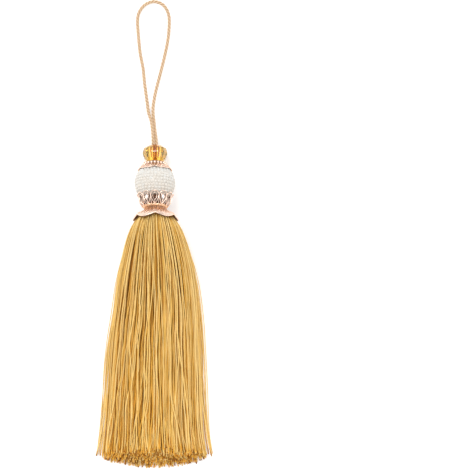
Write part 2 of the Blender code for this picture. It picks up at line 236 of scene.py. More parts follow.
# Their stems: turn in petals, first and last depth, and thickness in wire radii.
LOWER_CAP_STEMS = (
    (0.0, 12.6, 14.8, 1.3),
    (0.5, 9.8, 14.8, 1.2),
)
LOWER_CAP_DROP_STEPS = 36
LOWER_CAP_DROP_FLATNESS = 0.9
STEM_STEPS = 8
# The grain where two petals meet: depth, and radius in wire radii.
JOINT = (9.7, 2.3)
# The pale drop in every other petal: depth, and its radii across, outward and along the axis.
PALE_DROP = (10.1, (0.85, 0.6, 1.6))
PALE_DROP_TONE = 0.0

PETALS = 6
PETAL_NOTCH = 2.3
PETAL_POINT = 1.5
PETAL_SWELL = 0.03
PETAL_FLARE_START = -18.0
PETAL_CAP_STEPS = 240
PETAL_CAP_OUTER_SAMPLES = 5
PETAL_CAP_INNER_SAMPLES = 3
PETAL_CAP_OUTSIDE = (
    (6.4, -15.4), (6.8, -16.3), (7.7, -17.3), (9.3, -18.5), (11.1, -19.7), (12.2, -20.9),
    (12.8, -22.0), (13.1, -23.0),
)
PETAL_CAP_INSIDE = (
    (12.6, -23.0), (12.3, -22.1), (11.7, -21.1), (10.7, -20.1), (8.9, -18.9), (7.2, -17.6),
    (6.3, -16.6),
)
# Veins that fan out on each petal: how many, how high, and the share of the way where they end.
VEINS = PETALS * 5
VEIN_HEIGHT = 0.16
VEIN_END = 1.0 / 1.15
# Darkness of the petal cap: painted shade inside, darker near the edge, and on the petals the least
# and how much more in the grooves.
BELL_LINING_SHADE = 0.45
BELL_EDGE_DARKENING = 0.5
BELL_EDGE_SHARE = 0.86
PETAL_WEAR = (0.16, 0.6)
# Wires along the petal cap's edge: radius, lift, thickness in wire radii and darkness; the dark lower wire is
# a painted shadow line under the rim.
PETAL_CAP_RIMS = (
    (12.95, 0.35, 1.9, 0.0),
    (12.85, -0.05, 1.0, 0.9),
)
# Raised beading on the petals: rows of (count, radius, height, bead radius).
PETAL_BEADING = (
    (90, 11.75, -20.25, 0.34),
    (60, 9.7, -18.65, 0.28),
)
PETAL_CAP_MIDDLE = Vector((0.0, 0.0, -17.0))

HEAD_OUTSIDE = (
    (5.8, -17.1), (6.7, -17.8), (8.3, -19.0), (9.8, -20.0), (10.5, -20.7),
)
SOCKET_FLOOR = -19.0
HEAD_POLE = 0.01
HEAD_SAMPLES = 4
HEAD_STEPS = 72
HEAD_MIDDLE = Vector((0.0, 0.0, -17.5))
WINDING_RADIUS = 0.3
WINDING_STEPS = 96
# Which rows of the head's outline carry a winding.
WOUND_ROWS = slice(2, -2, 2)

SKIRT_REACH = 171.0
SKIRT_SIDE_LOSS = 5.6
SKIRT_START = 19.25
SKIRT_SEED = 7
MOUND_HALF_WIDTH = 30.0
MOUND_HEIGHT = 17.0

# Distance from the ball's middle, height of the widest line, lean of the section in degrees, height
# above that line, and how far the underside is round.
SKIRT_PROFILE = (
    (19.25, 16.86, 13.5, 9.6, 1.00),
    (22.27, 17.58, 13.5, 11.6, 1.00),
    (26.50, 17.30, 6.0, 13.1, 0.92),
    (42.00, 8.60, 0.0, 19.4, 0.40),
    (78.00, 0.00, 0.0, 22.3, 0.00),
    (163.00, 0.00, 0.0, 15.5, 0.00),
    (173.00, 0.00, 0.0, 14.7, 0.00),
)
# The tables below start with the same distance. Here the second column is the half width.
SKIRT_WIDTH = (
    (19.25, 9.6), (22.27, 11.9), (26.5, 14.9), (34.0, 17.9), (42.0, 20.3), (53.0, 22.9),
    (63.0, 24.5), (78.0, 26.0), (92.0, 27.3), (111.0, 28.4), (130.0, 29.1), (149.0, 30.2),
    (163.0, 32.2), (173.0, 33.5),
)
# How far the skirt's middle line swings to the right.
SKIRT_MIDDLE = (
    (19.25, 0.5), (30.0, 0.8), (50.0, 1.2), (70.0, 1.1), (100.0, 0.1), (130.0, -0.4),
    (150.0, -0.5), (173.0, -0.2),
)
# How strongly strands draw together into locks.
LOCK_PULL = (
    (19.25, 0.0), (22.0, 0.25), (28.0, 0.65), (40.0, 1.0), (75.0, 0.85), (100.0, 0.36),
    (130.0, 0.20), (173.0, 0.14),
)
# How far strands stray, as a share of what they do at their ends.
STRAY_GROWTH = (
    (19.25, 0.0), (34.0, 0.10), (78.0, 0.45), (130.0, 0.85), (173.0, 1.0),
)
# How thick a strand is, as a share of the set width.
STRAND_BODY = (
    (19.25, 0.58), (26.5, 0.68), (50.0, 0.86), (78.0, 0.98), (110.0, 1.07), (158.0, 1.12),
    (168.0, 0.96), (173.0, 0.90),
)
# How strong the painted shade is on the strands under the top ones.
GAP_SHADE = (
    (19.25, 0.9), (30.0, 1.0), (75.0, 0.9), (100.0, 0.4), (173.0, 0.3),
)

# Depths under the skirt's surface of the finely made strands and of those that may lie loose.
OUTER_LAYER = 2.6
TOP_LAYER = 1.3
# Sides and stations of the strands in the outer layer and of those under it.
OUTER_FINENESS = (6, 30)
INNER_FINENESS = (5, 12)
# Random shift of a lock or a strand in the mound, as a share of the pitch, and their room at its edge.
LOCK_JITTER = 0.45
STRAND_JITTER = 0.33
EDGE_ROOM = 0.35

# Random ranges of a lock: its tone, its lift, how tightly, where and along what run it is drawn
# together, and which share of its strands have dark ends.
LOCK_TONE_SPREAD = 0.07
LOCK_LIFT = 0.05
LOCK_GRIPS = (0.2, 1.0)
LOCK_GRIP_PLACES = (22.0, 110.0)
LOCK_GRIP_RUNS = (10.0, 30.0)
LEAST_GRIP = 0.12
DARK_END_SHARES = (0.1, 0.15, 0.3, 0.7)

# Random waves: least and greatest height, and least and greatest length. A lock's height is a share
# of the skirt's half width, and a strand's a share of its set wander.
LOCK_WAVES = (
    (0.002, 0.010, 60.0, 130.0),
    (0.001, 0.005, 30.0, 60.0),
)
STRAND_WAVES = (
    (0.35, 1.0, 45.0, 120.0),
    (0.15, 0.5, 18.0, 40.0),
)
RISE_WAVES = ((0.3, 0.9, 30.0, 80.0),)
RISE_SHARE = 0.5

# Strands stray less near the skirt's sides and near the head, down to these shares.
SIDE_HOLD = 0.35
HEAD_HOLD = 0.25
LOCK_DEPTH_PULL = 0.5
STATION_EASE = 0.92
# Spread of a held and of a loose strand's drift, and of the bends at their ends, sideways and up.
DRIFT = 2.1
LOOSE_DRIFT = 4.4
END_BEND = (0.9, 0.4)
LOOSE_END_BEND = 3.2
END_BEND_RUN = 22.0
LOOSE_BEND_RUN = 60.0
END_BEND_POWER = 1.6
LOOSE_WANDER = 2.2
LOOSE_SHARE = 0.35
TIP_SPREAD_POWER = 1.7
FLOOR_GAP = 0.02
# Ranges of how far a top strand lies off its place, in its radii, once past the first stations.
HELD_LIFTS = (-0.5, 0.6)
LOOSE_LIFTS = (0.7, 1.8)
LIFT_STATIONS = 8

# The yarn's tones run from 0, the bright tips, to 1, the palest. Under the surface a strand gets
# painted shade, a deeper tone and a blend to the shaded colour: depth where it starts, run and most.
# At the skirt's sides, from a share across and over a run, painted light makes it paler and unshaded.
STRAND_TONE = 0.66
STRAND_TONE_SPREAD = 0.16
LOOSE_TONE = 0.15
DEEP_SHADE_TONE = (0.4, 1.0, 0.45)
DEEP_SHADE = (0.45, 0.85, 0.8)
BESIDE = (0.7, 0.25)
SIDE_PAINTED_LIGHT = 0.3
BRIGHT_TIP_SHARE = 0.5
BRIGHT_TIP_TONES = (-0.4, 0.0)
PALE_TIP_TONES = (0.5, 1.2)
DARK_TIP_WEARS = (0.4, 0.8)
PALE_CUT_WEAR = 0.15

# The plies that open out at a cut end: their number, overlap with the strand, distance from its middle
# and radii in its radii, and ranges of their reach past the end, splay, tone and wear.
FRAY_PLIES = 3
FRAY_SIDES = 4
FRAY_OVERLAP = 0.3
FRAY_OFFSET = 0.45
FRAY_RADII = (0.56, 0.56, 0.46)
FRAY_REACHES = (0.5, 1.3)
FRAY_SPLAYS = (0.02, 0.2)
FRAY_FLOOR = 0.24
FRAY_TONE_SPREAD = 0.1
FRAY_DARK_WEAR = (0.8, 0.95, 1.0)
FRAY_PALE_WEAR = 0.2

# Loose fibres beside the skirt: share across, distance where they leave it and how far they end off.
SIDE_STRAYS = (
    (0.99, 44.0, 3.2),
    (0.98, 52.0, 2.4),
    (0.99, 66.0, 1.8),
    (0.98, 84.0, 2.7),
    (0.99, 112.0, 2.0),
    (-0.99, 42.0, -2.6),
    (-0.98, 60.0, -1.9),
    (-0.99, 82.0, -2.9),
    (-0.98, 108.0, -1.6),
)
# Loose fibres that cross its top: how many, and the ranges of the same three values.
TOP_STRAYS = 16
TOP_STRAY_ACROSS = 0.9
TOP_STRAY_STARTS = (30.0, 70.0)
TOP_STRAY_REACH = 5.0
STRAY_RADIUS = 0.23
STRAY_SIDES = 5
STRAY_STATIONS = 34
STRAY_LIFT = 0.2
STRAY_SHORTER = 4.0
STRAY_SWING = (0.25, 9.0)
# A fibre beside the skirt sinks by this share of its height on its way.
SIDE_STRAY_SINK = 0.8
SIDE_STRAY_TONE = 0.8
TOP_STRAY_TONE = 0.95

# Bake map: the margins of a strip's cell, as shares of it. An end face's half height is a share of the
# map, and its half width a share of its cell. A tallness is a strip's length over its girth.
CELL_MARGINS = (0.04, 0.01)
END_RISE = 0.004
END_WIDTH = 0.3
PLY_CELL_RINGS = 60
PLY_TALLNESS = 5.0
PEARL_TALLNESS = 0.8
STRAND_TALLNESS = 55.0
FRAY_TALLNESS = 1.2
STRAY_TALLNESS = 120.0

# A mix node's colour inputs and output.
MIX_COLOURS = (6, 7)
MIX_RESULT = 2

# The stage, in metres, but for the sensor.
PICTURE_SPAN = 282.0 * MM
PICTURE_MIDDLE = (48.0 * MM, (BALL_Y - 31.0) * MM)
CAMERA_HEIGHT = 2.4
OBJECT_LEVEL = 10.0 * MM
SENSOR = 36.0
CLIP_RANGE = (0.01, 100.0)
FLOOR_HALF = 8.0
FLOOR_DROP = 0.05 * MM
FLOOR_GLOW = 0.22
# The floor's faint spots, as a share of its colour.
FLOOR_SPOTS = 0.99
# Sun lamps: name, the direction from which they shine, strength and spread in degrees.
LAMPS = (
    ("key_light", (-0.35, 0.55, 1.0), 1.5, 35.0),
    ("fill_light", (0.6, -0.35, 1.0), 0.6, 60.0),
)
# Brightness of the studio by height: pale walls, and a darker place overhead for the camera.
SKY = (
    (0.0, 1.02), (0.55, 1.00), (0.80, 0.80), (0.95, 0.40), (1.0, 0.28),
)


def length(name, description, default):
    return bpy.props.FloatProperty(
        name=name, description=description, default=default, min=0.0, unit="LENGTH", subtype="DISTANCE"
    )


def colour(name, description, default):
    return bpy.props.FloatVectorProperty(
        name=name, description=description, default=default, size=3, min=0.0, max=1.0, subtype="COLOR"
    )


class TasselSizes(bpy.types.PropertyGroup):
    """Sizes that a user may change."""

    strand_width: length("Strand width", "Thickness of one yarn strand", 0.00070)
    strand_pitch: length("Strand pitch", "Distance between strands across the skirt", 0.00080)
    lock_pitch: length("Lock pitch", "Width of the locks that strands gather into", 0.0028)
    strand_wander: length("Strand wander", "How far strands stray sideways at their ends", 0.0007)
    tip_spread: length("Tip spread", "How unevenly the strands are cut", 0.0040)
    tip_loss: length("Tip loss", "How much shorter the topmost strands are than the lowest", 0.0105)
    ply_radius: length("Ply radius", "Radius of one ply of the cord", 0.00053)
    rope_lay: length("Cord lay", "Length of one full turn of the cord's plies", 0.0063)
    pearl_radius: length("Pearl radius", "Radius of one seed pearl", 0.00106)
    pearl_pitch: length("Pearl pitch", "Distance between seed pearls", 0.0020)
    wire_radius: length("Wire radius", "Radius of the caps' finest wires", 0.00021)
    grain_radius: length("Grain radius", "Radius of the metal grains round the collar", 0.00072)


class TasselColours(bpy.types.PropertyGroup):
    """Colours that a user may change."""

    yarn_pale: colour("Yarn, pale", "Lightest strands", (0.92, 0.69, 0.29))
    yarn_middle: colour("Yarn, middle", "Most strands", (0.79, 0.515, 0.145))
    # Also the colour that the painted shade under the surface and in the twist's grooves leans to.
    yarn_deep: colour("Yarn, deep", "Most orange strands", (0.70, 0.345, 0.04))
    yarn_tip: colour("Yarn, tips", "Bright cut tips", (1.0, 0.55, 0.09))
    # The colour of the painted shade between the strands, and of the dark cut tips.
    yarn_shade_and_dark_tips: colour("Yarn, shaded", "Shaded strands and dark tips", (0.27, 0.06, 0.002))
    cord_pale: colour("Cord, pale", "Raised fibres of the cord", (0.72, 0.53, 0.35))
    # Painted shade in the grooves between the plies.
    cord_groove_shade: colour("Cord, deep", "Grooves of the cord", (0.34, 0.17, 0.07))
    glass: colour("Glass", "Colour of the cut bead", (0.97, 0.68, 0.13))
    glass_deep: colour("Glass, deep", "Denser clouds and bore of the cut bead", (0.91, 0.40, 0.03))
    metal: colour("Metal", "Rose plate of the caps", (0.93, 0.72, 0.60))
    metal_pale: colour("Metal, pale", "Polished drops of the lower cap", (0.97, 0.95, 0.93))
    # The colour of a painted reflection of the yarn.
    metal_yarn_reflection: colour("Metal, golden", "Where the plate takes up the yarn's colour", (0.92, 0.55, 0.25))
    # Also the colour of painted shade in the lower cap's bowl, the caps' insides and the wire under the
    # bell's rim.
    metal_deep: colour("Metal, deep", "Darkened hollows of the caps", (0.10, 0.045, 0.025))
    # The pearls run from warm to cool across the ball as a painted reflection, as well as at random.
    pearl_pale: colour("Pearl, pale", "Cooler seed pearls", (0.67, 0.665, 0.635))
    pearl_warm: colour("Pearl, warm", "Warmer seed pearls", (0.67, 0.60, 0.52))
    floor: colour("Floor", "Pale floor under the tassel", (0.93, 0.93, 0.93))


def sizes():
    return bpy.context.scene.tassel_sizes


def colours():
    return bpy.context.scene.tassel_colours


class Finish:
    """A material and the nodes that feed its main shader."""

    def __init__(self, name):
        self.material = bpy.data.materials.new(name)
        self.material.use_nodes = True
        self.tree = self.material.node_tree
        self.shader = self.tree.nodes["Principled BSDF"]

    def put(self, socket, value):
        if isinstance(value, bpy.types.NodeSocket):
            self.tree.links.new(value, socket)
        else:
            socket.default_value = value

    def node(self, kind, inputs=(), **settings):
        made = self.tree.nodes.new("ShaderNode" + kind)
        for setting, value in settings.items():
            setattr(made, setting, value)
        for name, value in dict(inputs).items():
            self.put(made.inputs[name], value)
        return made

    def surface(self, **inputs):
        """Feed the shader, with _ for each space in an input's name, and give the material."""
        for name, value in inputs.items():
            self.put(self.shader.inputs[name.replace("_", " ")], value)
        return self.material

    def math(self, operation, *values):
        made = self.node("Math", operation=operation)
        for socket, value in zip(made.inputs, values):
            self.put(socket, value)
        return made.outputs["Value"]

    def value_of(self, attribute):
        return self.node("Attribute", attribute_name=attribute).outputs["Fac"]

    def noise(self, scale, detail, stretch=(1.0, 1.0, 1.0)):
        place = self.node("TexCoord").outputs["Object"]
        mapping = self.node("Mapping", {"Vector": place, "Scale": stretch})
        texture = self.node(
            "TexNoise", {"Vector": mapping.outputs["Vector"], "Scale": scale, "Detail": detail}
        )
        return texture.outputs["Fac"]

    def mottled(self, attribute, low, high, **noise):
        """An attribute's value, with noise between low and high added."""
        return self.math("ADD", self.value_of(attribute), self.range(self.noise(**noise), low, high))

    def ramp(self, value, stops):
        made = self.node("ValToRGB", {"Fac": value})
        elements = made.color_ramp.elements
        for index, (place, tint) in enumerate(stops):
            element = elements[index] if index < len(elements) else elements.new(place)
            element.position = place
            element.color = (*tint, 1.0)
        return made.outputs["Color"]

    def blend(self, amount, first, second):
        made = self.node("Mix", data_type="RGBA", blend_type="MIX")
        self.put(made.inputs["Factor"], amount)
        for number, value in zip(MIX_COLOURS, (first, second)):
            socket = made.inputs[number]
            self.put(socket, value if isinstance(value, bpy.types.NodeSocket) else (*value, 1.0))
        return made.outputs[MIX_RESULT]

    def range(self, value, low, high):
        made = self.node("MapRange", {"Value": value, "To Min": low, "To Max": high})
        return made.outputs["Result"]

    def twist(self, plies, turns_per_metre):
        """Fine plies laid round a strand, from the direction and the run kept in its points."""
        fibre = self.node("Attribute", attribute_name="fibre").outputs["Vector"]
        parts = self.node("SeparateXYZ", {"Vector": fibre}).outputs
        angle = self.math("ARCTAN2", parts["Y"], parts["X"])
        run = self.math("MULTIPLY", parts["Z"], math.tau * turns_per_metre)
        turned = self.math("MULTIPLY_ADD", angle, float(plies), run)
        return self.math("MULTIPLY_ADD", self.math("SINE", turned), 0.5, 0.5)

    def bump(self, height, distance, strength):
        made = self.node("Bump", {"Height": height, "Distance": distance, "Strength": strength})
        return made.outputs["Normal"]


def linked(name, data):
    """A new object in the scene."""
    made = bpy.data.objects.new(name, data)
    bpy.context.scene.collection.objects.link(made)
    return made


def linked_shape(name, shape):
    """A new object in the scene from an edit mesh, which is freed."""
    mesh = bpy.data.meshes.new(name)
    shape.to_mesh(mesh)
    shape.free()
    return linked(name, mesh)


def add_piece(name, mesh, finish, node):
    """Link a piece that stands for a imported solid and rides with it."""
    piece = linked(name, mesh)
    mesh.materials.clear()
    mesh.materials.append(finish)
    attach(piece, BODY)
    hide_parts(node)
    return piece


class Cells:
    """Gives each strip of a mesh its own place on the bake map, row on row."""

    def __init__(self, count, tallness):
        """tallness is a strip's length over its girth."""
        self.columns = max(1, math.ceil(math.sqrt(count * tallness)))
        self.wide = 1.0 / self.columns
        self.tall = 1.0 / math.ceil(count / self.columns)
        self.used = 0

    def next(self):
        """Left edge, lower edge, width and height of the next cell."""
        row, column = divmod(self.used, self.columns)
        self.used += 1
        side, end = CELL_MARGINS
        return (
            (column + side) * self.wide,
            (row + end) * self.tall,
            (1.0 - 2.0 * side) * self.wide,
            (1.0 - 2.0 * end) * self.tall,
        )


def in_cell(cell, across, up):
    """A place on the bake map, from shares of a cell's width and height."""
    return cell[0] + cell[2] * across, cell[1] + cell[3] * up


class Shape:
    """Points, faces and the values that their finish reads, gathered for one mesh."""

    def __init__(self, cells=None):
        """cells, if given, place the strips on the bake map."""
        self.cells = cells
        self.points = []
        self.faces = []
        self.smooth = []
        self.tone = []
        # Per point darkening: painted shade in places, and patina and dark cut ends elsewhere.
        self.wear = []
        self.fibre = []
        self.places = []

    def next_cell(self):
        return self.cells.next() if self.cells else None

    def add_point(self, point, tone=PLAIN_TONE, wear=0.0, fibre=(1.0, 0.0, 0.0)):
        self.points.append(point)
        self.tone.append(tone)
        self.wear.append(wear)
        self.fibre.extend(fibre)
        return len(self.points) - 1

    def add_face(self, corners, places=(), smooth=True):
        self.faces.append(corners)
        self.smooth.append(smooth)
        for place in places:
            self.places.extend(place)

    def mesh(self, name, matrix):
        mesh = bpy.data.meshes.new(name)
        mesh.from_pydata([tuple(matrix @ point) for point in self.points], [], self.faces)
        mesh.polygons.foreach_set("use_smooth", self.smooth)
        for attribute, kind, field, values in (
            ("tone", "FLOAT", "value", self.tone),
            ("wear", "FLOAT", "value", self.wear),
            ("fibre", "FLOAT_VECTOR", "vector", self.fibre),
        ):
            mesh.attributes.new(attribute, kind, "POINT").data.foreach_set(field, values)
        if self.places:
            mesh.uv_layers.new(name=BAKE_MAP).data.foreach_set("uv", self.places)
        mesh.update()
        return mesh

    def add_piece(self, name, finish, slot, node, matrix=Matrix()):
        return add_piece(name, self.mesh(name, matrix), finish, node)


def clamped(value, low=0.0, high=1.0):
    return min(high, max(low, value))


def rising(value, start, run, most=1.0):
    """0 up to start, and most from one run further on."""
    return most * clamped((value - start) / run)


def even_list(value, count):
    return list(value) if isinstance(value, (list, tuple)) else [value] * count


def full_turn(steps, offset=0.0):
    """Even angles round a full turn, set on by a share of a step."""
    return [math.tau * (step + offset) / steps for step in range(steps)]


def round_spot(radius, azimuth, height):
    return Vector((radius * math.cos(azimuth), radius * math.sin(azimuth), height))


def dome_spot(radius, polar, azimuth):
    return Vector(
        (
            radius * math.sin(polar) * math.cos(azimuth),
            radius * math.sin(polar) * math.sin(azimuth),
            radius * math.cos(polar),
        )
    )


def tangents(centres, closed=False):
    found = []
    last = len(centres) - 1
    for index in range(len(centres)):
        before = centres[index - 1] if index or closed else centres[0]
        after = centres[(index + 1) % len(centres)] if index < last or closed else centres[last]
        found.append((after - before).normalized())
    return found


def sideways(along, angle):
    """The direction at an angle round a line that runs along."""
    level = along.cross(UP).normalized()
    return level * math.cos(angle) + level.cross(along) * math.sin(angle)


def add_tube(
    shape,
    centres,
    outward,
    radius,
    sides,
    tone=PLAIN_TONE,
    wear=0.0,
    cell_rings=None,
    flat=1.0,
    closed=False,
    end_wear=None,
):
    """Sweep a round along centres, flat times as thick in the outward direction as across it."""
    count = len(centres)
    outward, radius, tone, wear = (even_list(value, count) for value in (outward, radius, tone, wear))
    rings = []
    run = 0.0
    for index, (centre, along) in enumerate(zip(centres, tangents(centres, closed))):
        across = along.cross(outward[index]).normalized()
        upright = across.cross(along) * flat
        if index:
            run += (centre - centres[index - 1]).length
        ring = []
        for angle in full_turn(sides):
            sine, cosine = math.sin(angle), math.cos(angle)
            point = centre + upright * (radius[index] * cosine) + across * (radius[index] * sine)
            ring.append(shape.add_point(point, tone[index], wear[index], (cosine, sine, run)))
        rings.append(ring)
    spans = count if closed else count - 1
    cell_rings = cell_rings or spans
    for index in range(spans):
        near, far = rings[index], rings[(index + 1) % count]
        step = index % cell_rings
        if step == 0:
            cell = shape.next_cell()
        for side in range(sides):
            after = (side + 1) % sides
            places = [
                in_cell(cell, (side + right) / sides, (step + up) / cell_rings)
                for right, up in (SQUARE if cell else ())
            ]
            shape.add_face((near[side], near[after], far[after], far[side]), places)
    if not closed:
        add_tube_end(shape, rings[0][::-1], cell, 0.0, None)
        add_tube_end(shape, rings[-1], cell, 1.0, end_wear)


def add_tube_end(shape, ring, cell, level, end_wear):
    """Close a tube with one face, which may have a wear of its own."""
    places = []
    if cell:
        inward = END_RISE * (1.0 - 2.0 * level)
        for turn in full_turn(len(ring)):
            across, up = in_cell(cell, 0.5 + END_WIDTH * math.cos(turn), level)
            places.append((across, up + inward * (1.0 + math.sin(turn))))
    if end_wear is not None:
        ring = [
            shape.add_point(
                shape.points[corner].copy(),
                shape.tone[corner],
                end_wear,
                shape.fibre[3 * corner : 3 * corner + 3],
            )
            for corner in ring
        ]
    shape.add_face(tuple(ring), places, smooth=False)


def monotone_slopes(places, values):
    steps = [after - before for before, after in zip(places, places[1:])]
    rises = [(b - a) / step for a, b, step in zip(values, values[1:], steps)]
    slopes = [rises[0]]
    for before, after, near, far in zip(rises, rises[1:], steps, steps[1:]):
        if before * after <= 0.0:
            slopes.append(0.0)
            continue
        first, second = 2.0 * far + near, far + 2.0 * near
        slopes.append((first + second) / (first / before + second / after))
    slopes.append(rises[-1])
    return slopes


class Eased:
    """Values of a table's columns between its rows, without overshoot."""

    def __init__(self, table):
        self.places = [row[0] for row in table]
        self.columns = [list(column) for column in zip(*(row[1:] for row in table))]
        self.slopes = [monotone_slopes(self.places, column) for column in self.columns]

    def at(self, place):
        place = clamped(place, self.places[0], self.places[-1])
        row = 0
        while row < len(self.places) - 2 and self.places[row + 1] < place:
            row += 1
        span = self.places[row + 1] - self.places[row]
        t = (place - self.places[row]) / span
        found = []
        for column, slopes in zip(self.columns, self.slopes):
            found.append(
                (2.0 * t**3 - 3.0 * t**2 + 1.0) * column[row]
                + (t**3 - 2.0 * t**2 + t) * span * slopes[row]
                + (3.0 * t**2 - 2.0 * t**3) * column[row + 1]
                + (t**3 - t**2) * span * slopes[row + 1]
            )
        return found

    def first_at(self, place):
        return self.at(place)[0]


def smooth_curve(points, samples):
    """Points on a curve that runs evenly through all the given ones."""
    curve = []
    for index in range(len(points) - 1):
        before = points[max(0, index - 1)]
        start = points[index]
        end = points[index + 1]
        after = points[min(len(points) - 1, index + 2)]
        for step in range(samples):
            t = step / samples
            a = 2.0 * start
            b = (end - before) * t
            c = (2.0 * before - 5.0 * start + 4.0 * end - after) * t**2
            d = (3.0 * start - before - 3.0 * end + after) * t**3
            curve.append((a + b + c + d) * 0.5)
    curve.append(points[-1].copy())
    return curve


def even_points(curve, spacing):
    """Points along a curve at even distances, both ends kept."""
    lengths = [0.0]
    for start, end in zip(curve, curve[1:]):
        lengths.append(lengths[-1] + (end - start).length)
    count = max(1, round(lengths[-1] / spacing))
    points = []
    place = 0
    for step in range(count + 1):
        target = lengths[-1] * step / count
        while place < len(curve) - 2 and lengths[place + 1] < target:
            place += 1
        span = lengths[place + 1] - lengths[place]
        points.append(curve[place].lerp(curve[place + 1], (target - lengths[place]) / span))
    return points


def path_length(points):
    return sum((after - before).length for before, after in zip(points, points[1:]))


def bore_angle(radius):
    """The angle from the axis at which a sphere meets the bore."""
    return math.asin(BORE_RADIUS / radius)


def arc(radius, first, last, bands):
    """Outline points (radius, height) on a sphere between two angles from the axis."""
    polars = [first + (last - first) * band / bands for band in range(bands + 1)]
    return [(radius * math.sin(polar), radius * math.cos(polar)) for polar in polars]


def eased_outline(rows, samples):
    """A smooth outline through the given (radius, height) rows."""
    points = [Vector((radius, height, 0.0)) for radius, height in rows]
    return [(point.x, point.y) for point in smooth_curve(points, samples)]


def add_turned(
    shape,
    outline,
    steps,
    change=lambda row, azimuth, spot: spot,
    wear=lambda row, azimuth: 0.0,
    tone=lambda row: PLAIN_TONE,
):
    """Turn a closed outline of (radius, height) in mm about the bead axis; change may move points."""
    grid = []
    for row, (radius, height) in enumerate(outline):
        ring = []
        for azimuth in full_turn(steps):
            spot = change(row, azimuth, round_spot(radius, azimuth, height))
            ring.append(shape.add_point(spot * MM, tone(row), wear(row, azimuth)))
        grid.append(ring)
    for row, near in enumerate(grid):
        far = grid[(row + 1) % len(grid)]
        for step in range(steps):
            after = (step + 1) % steps
            shape.add_face((near[step], far[step], far[after], near[after]))


# Finishes


def yarn_finish():
    tints = colours()
    finish = Finish("silky_yarn")
    tone = finish.mottled("tone", -0.28, 0.28, scale=900.0, detail=3.0, stretch=(1.0, 0.12, 1.0))
    stops = (
        (0.0, tints.yarn_tip),
        (0.12, tints.yarn_deep),
        (0.5, tints.yarn_middle),
        (1.0, tints.yarn_pale),
    )
    # The darkening attribute blends in painted shade between the strands and the dark cut tips.
    tint = finish.blend(finish.value_of("wear"), finish.ramp(tone, stops), tints.yarn_shade_and_dark_tips)
    fibres = finish.twist(plies=4, turns_per_metre=240.0)
    # Painted shade in the grooves of each strand's twist.
    tint = finish.blend(finish.range(fibres, 0.34, 0.0), tint, tints.yarn_deep)
    return finish.surface(
        Base_Color=tint,
        Roughness=finish.range(fibres, 0.5, 0.38),
        Normal=finish.bump(fibres, distance=0.00005, strength=0.8),
        Specular_IOR_Level=0.2,
        Specular_Tint=(1.0, 0.7, 0.28, 1.0),
        Sheen_Weight=0.02,
        Sheen_Roughness=0.4,
        Sheen_Tint=(1.0, 0.78, 0.42, 1.0),
    )


def cord_finish():
    tints = colours()
    finish = Finish("silky_cord")
    fibres = finish.twist(plies=9, turns_per_metre=-420.0)
    tone = finish.mottled("tone", -0.12, 0.12, scale=1400.0, detail=2.0)
    return finish.surface(
        Base_Color=finish.ramp(tone, ((0.5, tints.cord_groove_shade), (0.95, tints.cord_pale))),
        Roughness=finish.range(fibres, 0.58, 0.42),
        Normal=finish.bump(fibres, distance=0.00004, strength=0.7),
        Specular_Tint=(1.0, 0.86, 0.68, 1.0),
        Sheen_Weight=0.12,
        Sheen_Roughness=0.4,
        Sheen_Tint=(1.0, 0.84, 0.62, 1.0),
    )


def metal_finish(name):
    """Rose plate: a low tone is pale, a high one a painted reflection of the yarn; the darkening is patina
    in the hollows, and painted shade in the lower cap's bowl, the caps' insides and the wire under the bell's
    rim.
    """
    tints = colours()
    finish = Finish(name)
    wear = finish.mottled("wear", -0.14, 0.14, scale=700.0, detail=4.0)
    wear = finish.math("MINIMUM", finish.math("MAXIMUM", wear, 0.0), 1.0)
    plate = finish.ramp(
        finish.value_of("tone"),
        ((0.0, tints.metal_pale), (0.5, tints.metal), (1.0, tints.metal_yarn_reflection)),
    )
    hammer = finish.noise(scale=2600.0, detail=2.0)
    return finish.surface(
        Base_Color=finish.blend(wear, plate, tints.metal_deep),
        Roughness=finish.range(wear, 0.16, 0.5),
        Normal=finish.bump(hammer, distance=0.00004, strength=0.5),
        Metallic=1.0,
        Specular_Tint=(1.0, 0.84, 0.72, 1.0),
    )


def pearl_finish(name):
    tints = colours()
    finish = Finish(name)
    tone = finish.mottled("tone", -0.15, 0.15, scale=1600.0, detail=2.0)
    grain = finish.noise(scale=3000.0, detail=3.0)
    return finish.surface(
        Base_Color=finish.ramp(tone, ((0.1, tints.pearl_warm), (0.9, tints.pearl_pale))),
        Roughness=finish.range(finish.noise(scale=2500.0, detail=2.0), 0.30, 0.42),
        Normal=finish.bump(grain, distance=0.00002, strength=0.3),
        Specular_IOR_Level=0.5,
        Coat_Weight=0.15,
        Coat_Roughness=0.2,
    )


def glass_finish():
    tints = colours()
    finish = Finish("amber_cut_glass")
    cloud = finish.mottled("tone", 0.0, 0.5, scale=260.0, detail=2.0)
    return finish.surface(
        Base_Color=finish.blend(cloud, tints.glass, tints.glass_deep),
        Roughness=finish.range(finish.noise(scale=1800.0, detail=2.0), 0.0, 0.03),
        Transmission_Weight=1.0,
        IOR=1.6,
        Coat_Weight=0.15,
        Coat_Roughness=0.02,
        Coat_IOR=1.7,
    )


def floor_finish():
    tint = colours().floor
    finish = Finish("pale_floor")
    spots = finish.noise(scale=30.0, detail=3.0)
    grain = finish.noise(scale=900.0, detail=2.0)
    return finish.surface(
        Base_Color=finish.ramp(spots, ((0.3, [FLOOR_SPOTS * value for value in tint]), (0.7, tint))),
        Roughness=finish.range(finish.noise(scale=60.0, detail=2.0), 0.75, 0.85),
        Normal=finish.bump(grain, distance=0.00002, strength=0.05),
        Specular_IOR_Level=0.2,
        Emission_Color=(1.0, 1.0, 1.0, 1.0),
        Emission_Strength=FLOOR_GLOW,
    )


# Cord


